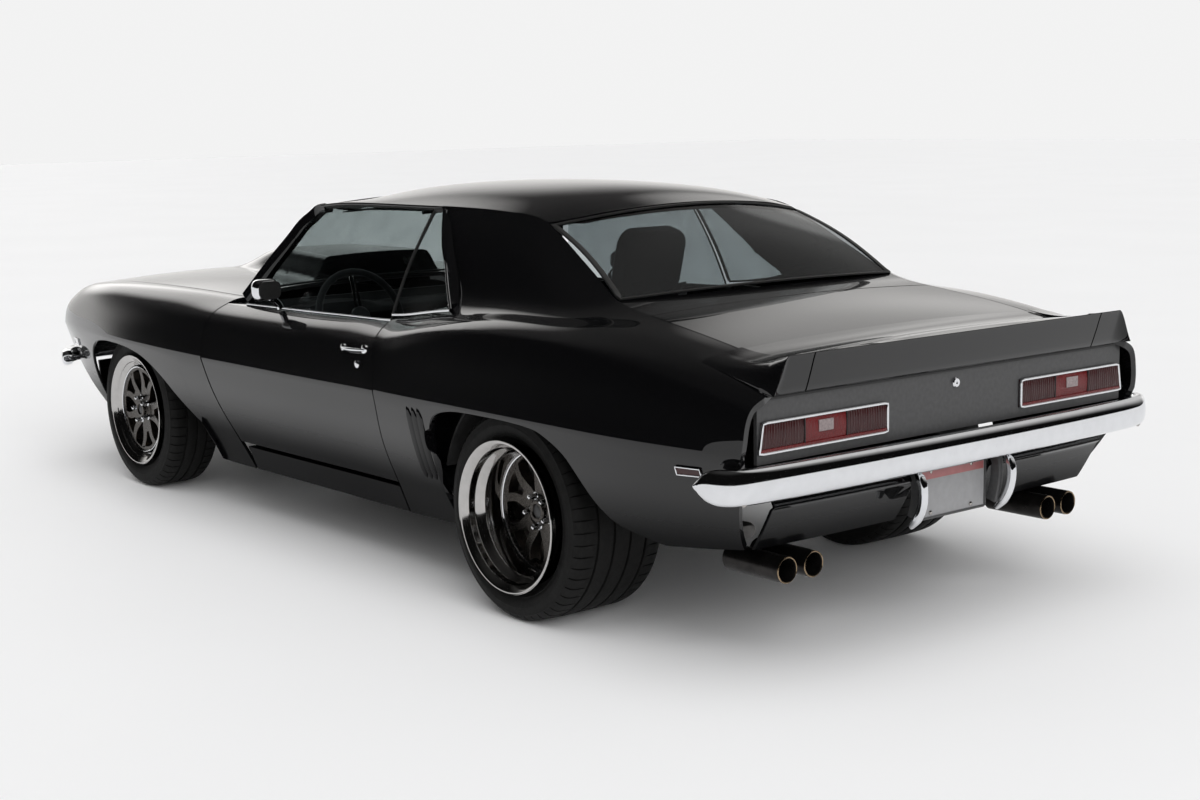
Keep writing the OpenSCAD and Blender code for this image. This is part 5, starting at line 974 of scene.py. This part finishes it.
for i, (y, z, r_) in enumerate(((0, 500, 66), (0, 372, 78), (150, 600, 44), (-150, 590, 48))):
    v, f = rx([(0, 0), (r_, 0), (r_, 4), (r_-9, 8), (r_-9, 12), (r_, 16), (r_, 20), (r_*0.6, 22), (r_*0.5, 14), (0, 16)], (1428, y, z), 56); make("pulley_%d" % i, v, f, CAST, "body")
loop = []
Q = [(66, 500, 0), (0, 572, 0)]
bp = [(-150-50, 585), (-150, 640), (0, 574), (150, 646), (196, 602), (80, 372), (0, 292), (-80, 372)]
P = spline3([(1438, y, z) for y, z in bp+bp[:1]], 80)[:-1]
v, f = tube(P, rnd(10, 8, 2), closed=True, up=(1, 0, 0)); make("drive_belt", v, f, RUBTRIM, "body")
v, f = rx([(0, 0), (12, 0), (12, 60), (40, 60), (40, 84), (0, 84)], (1430, 0, 500), 40); make("fan_hub", v, f, CAST, "body")

# ---- cabin
def pillow(L, W, T, chan=(), axis=0, n=36, pull=0.03, crown=0.2, pw=10.0):
    s = np.sin(np.linspace(-np.pi/2, np.pi/2, n)); U, V_ = np.meshgrid(s, s, indexing="ij")
    X = L/2*U*(1-pull*(1-V_**2)*np.abs(U)**3); Y = W/2*V_*(1-pull*(1-U**2)*np.abs(V_)**3)
    prof = ((1-np.abs(U)**pw)*(1-np.abs(V_)**pw)).clip(0, 1)**0.5
    Z = T*prof*(1-crown+crown*(1-U**2)*(1-V_**2))
    S_ = (U*L/2 if axis == 0 else V_*W/2)
    for c_ in chan: Z -= T*0.13*np.exp(-((S_-c_)/5.0)**2)*prof
    G = np.stack([X, Y, Z], -1); H = np.stack([X*0.985, Y*0.985, -0.05*T-0.04*T*prof], -1)
    return slabm(G, H)
tilt = rotm("Y", -15)
def seatxf(VF, R, t, y0):
    V = np.asarray(VF[0], float)@R.T+np.array(t, float)
    return V@tilt.T+[-310, y0, 404], VF[1]
def frame_seat(s):
    y0 = 370*s; tg = "driver" if s > 0 else "passenger"
    # seat shell, one sheet from the front of the cushion to the shoulders
    rows = 60; colsn = 41; Uc = np.linspace(-1, 1, colsn)
    G = np.zeros((rows, colsn, 3))
    path = spline3([(165, 0, 318), (60, 0, 306), (-60, 0, 300), (-170, 0, 302), (-222, 0, 322), (-250, 0, 372), (-275, 0, 450), (-330, 0, 660), (-388, 0, 880)], rows)
    for i in range(rows):
        t = i/(rows-1); p = path[i]
        w_ = np.interp(t, [0, 0.35, 0.55, 0.8, 1], [224, 246, 246, 236, 196])
        wrap = np.interp(t, [0, 0.1, 0.35, 0.5, 0.8, 0.97, 1], [40, 92, 118, 96, 92, 40, 14])
        d = path[min(i+1, rows-1)]-path[max(i-1, 0)]; d /= np.linalg.norm(d); nrm = np.array([d[2], 0, -d[0]])
        if nrm[0]+nrm[2] < 0: nrm = -nrm
        h = wrap*np.abs(Uc)**5
        G[i] = p+h[:, None]*nrm; G[i, :, 1] = w_*np.sign(Uc)*np.abs(Uc)**0.9
    G[..., 0] += -130; G[..., 1] += y0
    v, f = shellfrom(G, 6, (-130-600, y0, -200)); make("seat_shell_"+tg, v, f, TRIM, "body", ["front_seats"] if s > 0 else [], bevel=2)
    I3 = np.eye(3)
    c = make("seat_cushion_"+tg, *xform(pillow(440, 350, 84, (-120, -40, 40, 120), 0), I3, (-72, y0, 318)), CLOTH, "body", angle=60)
    RB = rotm("Y", 90)
    c = make("seat_back_"+tg, *seatxf(pillow(450, 340, 66, (-140, -70, 0, 70, 140), 0), RB, (-66, 0, 262), y0), CLOTH, "body", angle=60)
    for q in (1, -1):
        c = make("seat_bolster_%s_%d" % (tg, q > 0), *xform(pillow(430, 78, 92, (), 0, pw=4), rotm("X", -28*q), (-76, y0+q*196, 344)), CLOTH, "body", angle=60)
        c = make("back_bolster_%s_%d" % (tg, q > 0), *seatxf(pillow(420, 84, 104, (), 0, pw=4), rotm("Z", -24*q)@RB, (-58, 190*q, 262), y0), CLOTH, "body", angle=60)
    # head section with two harness holes
    oc = rnd(290, 252, 60, 10)
    n = len(oc)
    def holed(x0, x1, grow):
        ob = None
        V = [(x0, a, b+604) for a, b in rnd(290+grow, 252+grow, 62, 10)]+[(x1, a, b+604) for a, b in rnd(290+grow, 252+grow, 62, 10)]
        k = len(V)//2
        return np.array(V, float), [list(range(k)), [k+j for j in range(k)][::-1]]+[[j, k+j, k+(j+1) % k, (j+1) % k] for j in range(k)]
    VF = holed(-92, -18, 0); VW = seatxf(VF, I3, (0, 0, 0), y0)
    hd = make("seat_head_"+tg, *VW, CLOTH, "body", smoothit=False)
    cut = []
    for q in (1, -1):
        CV = [(x_, q*72+a, b+545) for x_ in (-120, 20) for a, b in rnd(84, 50, 22, 8)]; k = len(CV)//2
        cut.append((np.array(CV, float), [list(range(k)), [k+j for j in range(k)][::-1]]+[[j, k+j, k+(j+1) % k, (j+1) % k] for j in range(k)]))
    CW = seatxf(join(cut), I3, (0, 0, 0), y0)
    cm = bpy.data.meshes.new("c"); cm.from_pydata((CW[0]/1000).tolist(), [], [list(map(int, q)) for q in CW[1]]); co = bpy.data.objects.new("c", cm); bpy.context.scene.collection.objects.link(co)
    md = hd.modifiers.new("h", "BOOLEAN"); md.operation = "DIFFERENCE"; md.object = co; md.solver = "EXACT"
    b = hd.modifiers.new("edge", "BEVEL"); b.width = 0.014; b.segments = 5; b.limit_method = "ANGLE"; b.angle_limit = math.radians(50)
    dg = bpy.context.evaluated_depsgraph_get(); nm_ = bpy.data.meshes.new_from_object(hd.evaluated_get(dg)); hd.modifiers.clear(); hd.data = nm_
    bpy.data.objects.remove(co)
    nm_.polygons.foreach_set("use_smooth", [True]*len(nm_.polygons)); nm_.set_sharp_from_angle(angle=math.radians(60))
    # harness straps
    for q in (1, -1):
        P0 = [(-16, 72*q, 60), (-6, 74*q, 160), (2, 74*q, 300), (0, 73*q, 440), (-6, 72*q, 520), (-40, 72*q, 538), (-100, 72*q, 530)]
        P = np.array([np.array(p)@tilt.T+[-310, y0, 404] for p in P0]); v, f = tube(spline3(P, 40), rnd(46, 2.4, 1, 2), up=(1, 0, 0.2)); make("harness_%s_%d" % (tg, q > 0), v, f, BELT, "body", angle=50)
    v, f = xform(boxm(-14, 14, -40, 40, -6, 6), rotm("Y", -10), (-250, y0, 440)); 
    for xx in (-120, 100):
        a = boxm(-130+xx-20, -130+xx+20, y0-180, y0+180, 276, 300); make("seat_rail_%s_%d" % (tg, xx > 0), *a, SATIN, "body", bevel=3)
frame_seat(1); frame_seat(-1)
# rear seat
c = make("rear_cushion", *xform(pillow(330, 900, 70, (-300, -150, 0, 150, 300), 1, n=60), np.eye(3), (-1010, 0, 462)), CLOTH, "body", ["rear_seat"], angle=60)
c = make("rear_cushion_front", *xform(pillow(150, 900, 40, (), 1), rotm("Y", 90), (-812, 0, 430)), CLOTH, "body", angle=60)
c = make("rear_back", *xform(pillow(360, 900, 78, (-300, -150, 0, 150, 300), 1, n=60), rotm("Y", 90-18), (-1290, 0, 680)), CLOTH, "body", angle=60)
S = np.linspace(0, 1, 12)[:, None]; Y = np.linspace(-480, 480, 41)[None]
G = np.stack([-1500+160*S+0*Y, Y+0*S, 896+0*S+0*Y], -1); v, f = slabm(G, G-[0, 0, 14]); make("rear_shelf", v, f, TRIM, "body", bevel=3)

# dashboard, column, wheel
pts = [(592, 650), (592, 790), (560, 798), (500, 802), (455, 796), (436, 782), (430, 764), (446, 742), (470, 724), (474, 690), (466, 664), (480, 646), (520, 640)]
yy = np.linspace(-690, 690, 71)
V = []; 
for y in yy:
    hump = 34*math.exp(-((y-380)/150.0)**4)
    V += [(x-0.35*hump*(x < 500), y, z+(hump*0.55 if z > 740 and x > 440 else 0)) for x, z in pts]
m = len(pts); F = [[i*m+j, i*m+(j+1) % m, (i+1)*m+(j+1) % m, (i+1)*m+j] for i in range(70) for j in range(m)]+[list(range(m))[::-1], [70*m+j for j in range(m)]]
V = np.array(V); a = sum(pts[j][0]*pts[(j+1) % m][1]-pts[(j+1) % m][0]*pts[j][1] for j in range(m))
if a > 0: F = [q[::-1] for q in F]
make("dash_body", V, F, TRIM, "body", ["dashboard"], bevel=2)
for i, (y, r_) in enumerate(((330, 44), (430, 44), (255, 24), (505, 24), (-40, 26), (40, 26))):
    zc = 720 if i < 4 else 716
    v, f = rx([(0, 0), (r_, 0), (r_, -8), (r_-4, -10), (r_-6, -4), (0, -3)], (470 if i < 4 else 472, y, zc), 40); make("gauge_%d" % i, v, f, CHROMED, "body")
    v, f = rx([(0, -4), (r_-6, -4), (r_-6, -5), (0, -5)], (470 if i < 4 else 472, y, zc), 40); make("gauge_face_%d" % i, v, f, PLATE, "body")
ax = np.array([-0.9397, 0, 0.3420]); c0 = np.array([300, 380, 768.0])
v, f = tube([c0-ax*(26+k) for k in (0, 60, 130, 190)], circ(22, 28), up=(0, 1, 0), scale=[1, 1, 1.15, 1.3]); make("steering_column", v, f, TRIM, "body")
R = rotm("Y", -70)
def sw(VF, nm, mt, **k): return make(nm, VF[0]@R.T+c0, VF[1], mt, "steering_wheel_body", **k)
ang = np.linspace(0, 2*np.pi, 97)[:-1]
P = np.stack([178*np.cos(ang), 178*np.sin(ang), 0*ang], 1)
v, f = tube(P, circ(13.5, 16), closed=True, scale=1+0.03*np.cos(ang*24)); ob = sw((v, f), "wheel_grip", CLOTH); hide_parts("steering_wheel")
sp_ = []
for k in range(3):
    a = math.radians(120*k); Rz = rotm("Z", 120*k)
    for lo, hi in ((-15, -5), (5, 15)):
        V = [(rr, yy_*(1-0.1*i), z_) for i, rr in enumerate((30, 100, 170)) for yy_, z_ in ((lo, -3), (hi, -3), (hi, 2), (lo, 2))]
        F = [[i*4+j, i*4+(j+1) % 4, i*4+4+(j+1) % 4, i*4+4+j] for i in range(2) for j in range(4)]+[[0, 3, 2, 1], [8, 9, 10, 11]]
        sp_.append((np.array(V, float)@Rz.T, F))
sw(join(sp_), "wheel_spokes", CHROMED, bevel=1)
v, f = rz([(0, 8), (36, 8), (40, 4), (40, -6), (34, -12), (22, -14), (20, -18), (0, -18)], (0, 0, 0), 48); sw((v, f), "wheel_boss", SATIN)
bo = [rz([(0, -12), (4, -12), (4, -16), (0, -16)], (29*math.cos(math.radians(60*k)), 29*math.sin(math.radians(60*k)), 0), 12) for k in range(6)]
sw(join(bo), "wheel_bolts", CHROME)
# headliner, carpets, door cards, side trims
U = np.linspace(0.03, 0.97, 40)
G = roof()[2:-2:2, 3:-3:2].copy(); G[..., 2] -= 34; G[..., 1] *= 0.955; G[..., 0] = G[..., 0]*0.975-10
v, f = slabm(G, G+[0, 0, 4]); make("headliner", v, f, TRIM, "body")
for s in (1, -1):
    X = np.linspace(-890, 590, 40)[:, None]; Y = np.linspace(116, 600, 21)[None]
    G = np.stack([X+0*Y, (Y+0*X)*s, 271+1.5*np.sin(X/60)*np.cos(Y/45)], -1); v, f = slabm(G+[0, 0, 5], G); make("carpet_%d" % (s > 0), v, f, CARPET, "body")
X = np.linspace(-890, 590, 40)[:, None]; Y = np.linspace(-1, 1, 21)[None]
G = np.stack([X+0*Y, 118*Y+0*X, 352-68*np.clip(np.abs(Y)-0.6, 0, 1)**1.5*2.4+0*X], -1); v, f = slabm(G, G-[0, 0, 3]); make("tunnel_carpet", v, f, CARPET, "body")
for sd, s in (("left", 1), ("right", -1)):
    bd = "door_%s_body" % sd; m1 = np.array([1, s, 1])
    S = np.linspace(0, 1, 30)[:, None]; Z = np.linspace(0, 1, 24)[None]
    X = -500+(430+500)*S+0*Z; Zz = 340+440*Z+0*S
    Yy = 724-6*np.sin(np.pi*Z)*np.sin(np.pi*S)
    G = np.stack([X, Yy, Zz], -1); v, f = slabm(G*m1, (G+[0, 8, 0])*m1); make("door_card_"+sd, v, f, TRIM, bd, bevel=3)
    P = spline3([(-300, 716, 560), (-290, 700, 566), (-150, 694, 572), (20, 698, 580), (40, 716, 584)], 24)*m1; v, f = tube(P, rnd(26, 44, 12), up=(0, 0, 1)); make("armrest_"+sd, v, f, TRIM, bd)
    P = spline3([(180, 716, 640), (182, 708, 642), (240, 704, 652), (262, 704, 650)], 12)*m1; v, f = tube(P, rnd(7, 12, 3)); make("window_crank_"+sd, v, f, CHROME, bd)
    S = np.linspace(0, 1, 30)[:, None]; Z = np.linspace(0, 1, 20)[None]
    G = np.stack([-640-540*S+0*Z, 690-170*smooth(0.5, 1, S)+0*Z-10*np.sin(np.pi*Z), 500+370*Z+0*S], -1); v, f = slabm(G*m1, (G+[0, 8, 0])*m1); make("side_trim_"+sd, v, f, TRIM, "body")
P = spline3([(470, -40, 1150), (300, -20, 1180), (262, 0, 1190)], 8)
v, f = tube([(262, 0, 1222), (262, 0, 1200), (258, 0, 1178)], rnd(22, 14, 5), up=(0, 1, 0)); make("mirror_stem", v, f, TRIM, "body")
rg = [(236-8*(a > 0), y, 1166+b) for a, y, b in ()]
v, f = tube([(256, -112, 1172), (250, -60, 1174), (248, 0, 1175), (250, 60, 1174), (256, 112, 1172)], rnd(16, 52, 7)); make("inner_mirror", v, f, TRIM, "body")

for nm_, mt in (("floor_pan", CHASSIS), ("front_frame", CHASSIS), ("cowl_and_firewall", SATIN), ("rear_axle", CHASSIS), ("control_arms", CHASSIS), ("knuckle_left", CAST), ("knuckle_right", CAST)):
    ob = N[nm_]; ob.data.materials.clear(); ob.data.materials.append(mt)

# ---- light levels
def dirv(az, el): return (math.cos(math.radians(el))*math.cos(math.radians(az)), math.cos(math.radians(el))*math.sin(math.radians(az)), math.sin(math.radians(el)))
GBASE = 0.004
LOBES = [(dirv(-54, 22), 0.978, 0.995, 0.80), (dirv(-16, 20), 0.955, 0.992, 1.6), ((0, 0, 1), 0.55, 1.0, 0.03), (dirv(-95, 40), 0.74, 0.95, 0.62)]
AMB = 0.45
BACK = 0.892
SUNS = [("key_soft", (-0.2, 0.2, 1.0), 62, 1.06), ("fill_soft", (-0.9, 0.30, 0.50), 45, 1.85)]
LIGHTS = []
WALL = (0.48, 0.74, 0.10, 0.36, 0.86, 0.05)

# ---- camera
cam = bpy.data.cameras.new("cam"); co = bpy.data.objects.new("cam", cam); bpy.context.scene.collection.objects.link(co)
yaw, pit, rol = -0.68198, -0.15747, -0.01833
fw = Vector((math.cos(pit)*math.cos(yaw), math.cos(pit)*math.sin(yaw), math.sin(pit))); rt = Vector((math.sin(yaw), -math.cos(yaw), 0)); upv = rt.cross(fw)
r2 = rt*math.cos(rol)+upv*math.sin(rol); u2 = -rt*math.sin(rol)+upv*math.cos(rol)
pos = Vector((-5.6415038, 4.0347271, 1.5260956))
M = Matrix.Identity(4)
for i in range(3):
    M[i][0], M[i][1], M[i][2], M[i][3] = r2[i], u2[i], -fw[i], pos[i]
co.matrix_world = M
cam.sensor_fit = "HORIZONTAL"; cam.sensor_width = 36; cam.lens = 54.514; cam.clip_end = 500; cam.clip_start = 0.05
bpy.context.scene.camera = co

# ---- floor
fl = bpy.data.meshes.new("studio_floor"); L = 60
fl.from_pydata([(-L, -L, 0), (L, -L, 0), (L, L, 0), (-L, L, 0)], [], [[0, 1, 2, 3]])
fo = bpy.data.objects.new("studio_floor", fl); bpy.context.scene.collection.objects.link(fo)
fm = mat("studio_white", (0.88, 0.88, 0.885), rough=0.6, var=0.01, ns=0.6, rv=0.05, spec=0.15); fl.materials.append(fm)

# ---- world: pale backdrop, darker studio in the mirror-like paint
w = bpy.data.worlds.new("studio"); bpy.context.scene.world = w; w.use_nodes = True
nt = w.node_tree; nd = nt.nodes; lk = nt.links
for n_ in list(nd): nd.remove(n_)
out = nd.new("ShaderNodeOutputWorld"); lp = nd.new("ShaderNodeLightPath"); tc = nd.new("ShaderNodeTexCoord"); sx = nd.new("ShaderNodeSeparateXYZ"); lk.new(tc.outputs["Generated"], sx.inputs[0])
def math_(op, a, b=None, c=None, clamp=False):
    n = nd.new("ShaderNodeMath"); n.operation = op; n.use_clamp = clamp
    for i, q in enumerate((a, b, c)):
        if q is None: continue
        if hasattr(q, "is_linked") or hasattr(q, "links"): lk.new(q, n.inputs[i])
        else: n.inputs[i].default_value = q
    return n.outputs[0]
def lobe(d, lo, hi, amp):
    """brightness amp in the direction d, fading out between the cosines hi and lo"""
    d = Vector(d).normalized()
    s = math_("ADD", math_("ADD", math_("MULTIPLY", sx.outputs[0], d.x), math_("MULTIPLY", sx.outputs[1], d.y)), math_("MULTIPLY", sx.outputs[2], d.z))
    m = nd.new("ShaderNodeMapRange"); m.interpolation_type = "SMOOTHSTEP"; lk.new(s, m.inputs["Value"])
    m.inputs["From Min"].default_value = lo; m.inputs["From Max"].default_value = hi; m.inputs["To Min"].default_value = 0; m.inputs["To Max"].default_value = amp
    return m.outputs["Result"]
refl = 0.004
tot = None
for args in LOBES:
    o_ = lobe(*args); tot = o_ if tot is None else math_("ADD", tot, o_)
# the white wall ahead of the car, fading upward and to the sides
hd_ = math_("ADD", math_("MULTIPLY", sx.outputs[0], math.cos(math.radians(-38))), math_("MULTIPLY", sx.outputs[1], math.sin(math.radians(-38))))
def ramp(v, a, b, lo, hi):
    m = nd.new("ShaderNodeMapRange"); m.interpolation_type = "SMOOTHSTEP"; lk.new(v, m.inputs["Value"])
    m.inputs["From Min"].default_value = a; m.inputs["From Max"].default_value = b; m.inputs["To Min"].default_value = lo; m.inputs["To Max"].default_value = hi
    return m.outputs["Result"]
wall = math_("MULTIPLY", ramp(hd_, WALL[0], WALL[1], 0, 1), ramp(sx.outputs[2], WALL[2], WALL[3], WALL[4], WALL[5]))
tot = math_("ADD", tot, wall)
tot = math_("ADD", tot, GBASE)
def shade(v):
    e = nd.new("ShaderNodeBackground")
    if isinstance(v, (int, float)): e.inputs["Strength"].default_value = v; e.inputs["Color"].default_value = (1, 1, 1, 1)
    else: lk.new(v, e.inputs["Strength"]); e.inputs["Color"].default_value = (1, 0.985, 0.965, 1)
    return e.outputs[0]
mx1 = nd.new("ShaderNodeMixShader"); lk.new(lp.outputs["Is Glossy Ray"], mx1.inputs[0]); lk.new(shade(AMB), mx1.inputs[1]); lk.new(shade(tot), mx1.inputs[2])
mx2 = nd.new("ShaderNodeMixShader"); mm = math_("MAXIMUM", lp.outputs["Is Camera Ray"], 0.0)
lk.new(mm, mx2.inputs[0]); lk.new(mx1.outputs[0], mx2.inputs[1]); lk.new(shade(BACK), mx2.inputs[2]); lk.new(mx2.outputs[0], out.inputs[0])

def area(nm, loc, tgt, size, power, gl=False):
    l = bpy.data.lights.new(nm, "AREA"); l.shape = "RECTANGLE"; l.size, l.size_y = size; l.energy = power
    o = bpy.data.objects.new(nm, l); bpy.context.scene.collection.objects.link(o); o.location = loc
    o.rotation_euler = (Vector(tgt)-Vector(loc)).to_track_quat("-Z", "Y").to_euler(); o.visible_glossy = gl; o.visible_camera = False
    return o
for a_ in LIGHTS: area(*a_)
for nm, dr, an, st in SUNS:
    l = bpy.data.lights.new(nm, "SUN"); l.angle = math.radians(an); l.energy = st
    o = bpy.data.objects.new(nm, l); bpy.context.scene.collection.objects.link(o)
    o.rotation_euler = Vector(dr).to_track_quat("Z", "Y").to_euler(); o.visible_glossy = False
bpy.context.scene.view_settings.view_transform = "Standard"
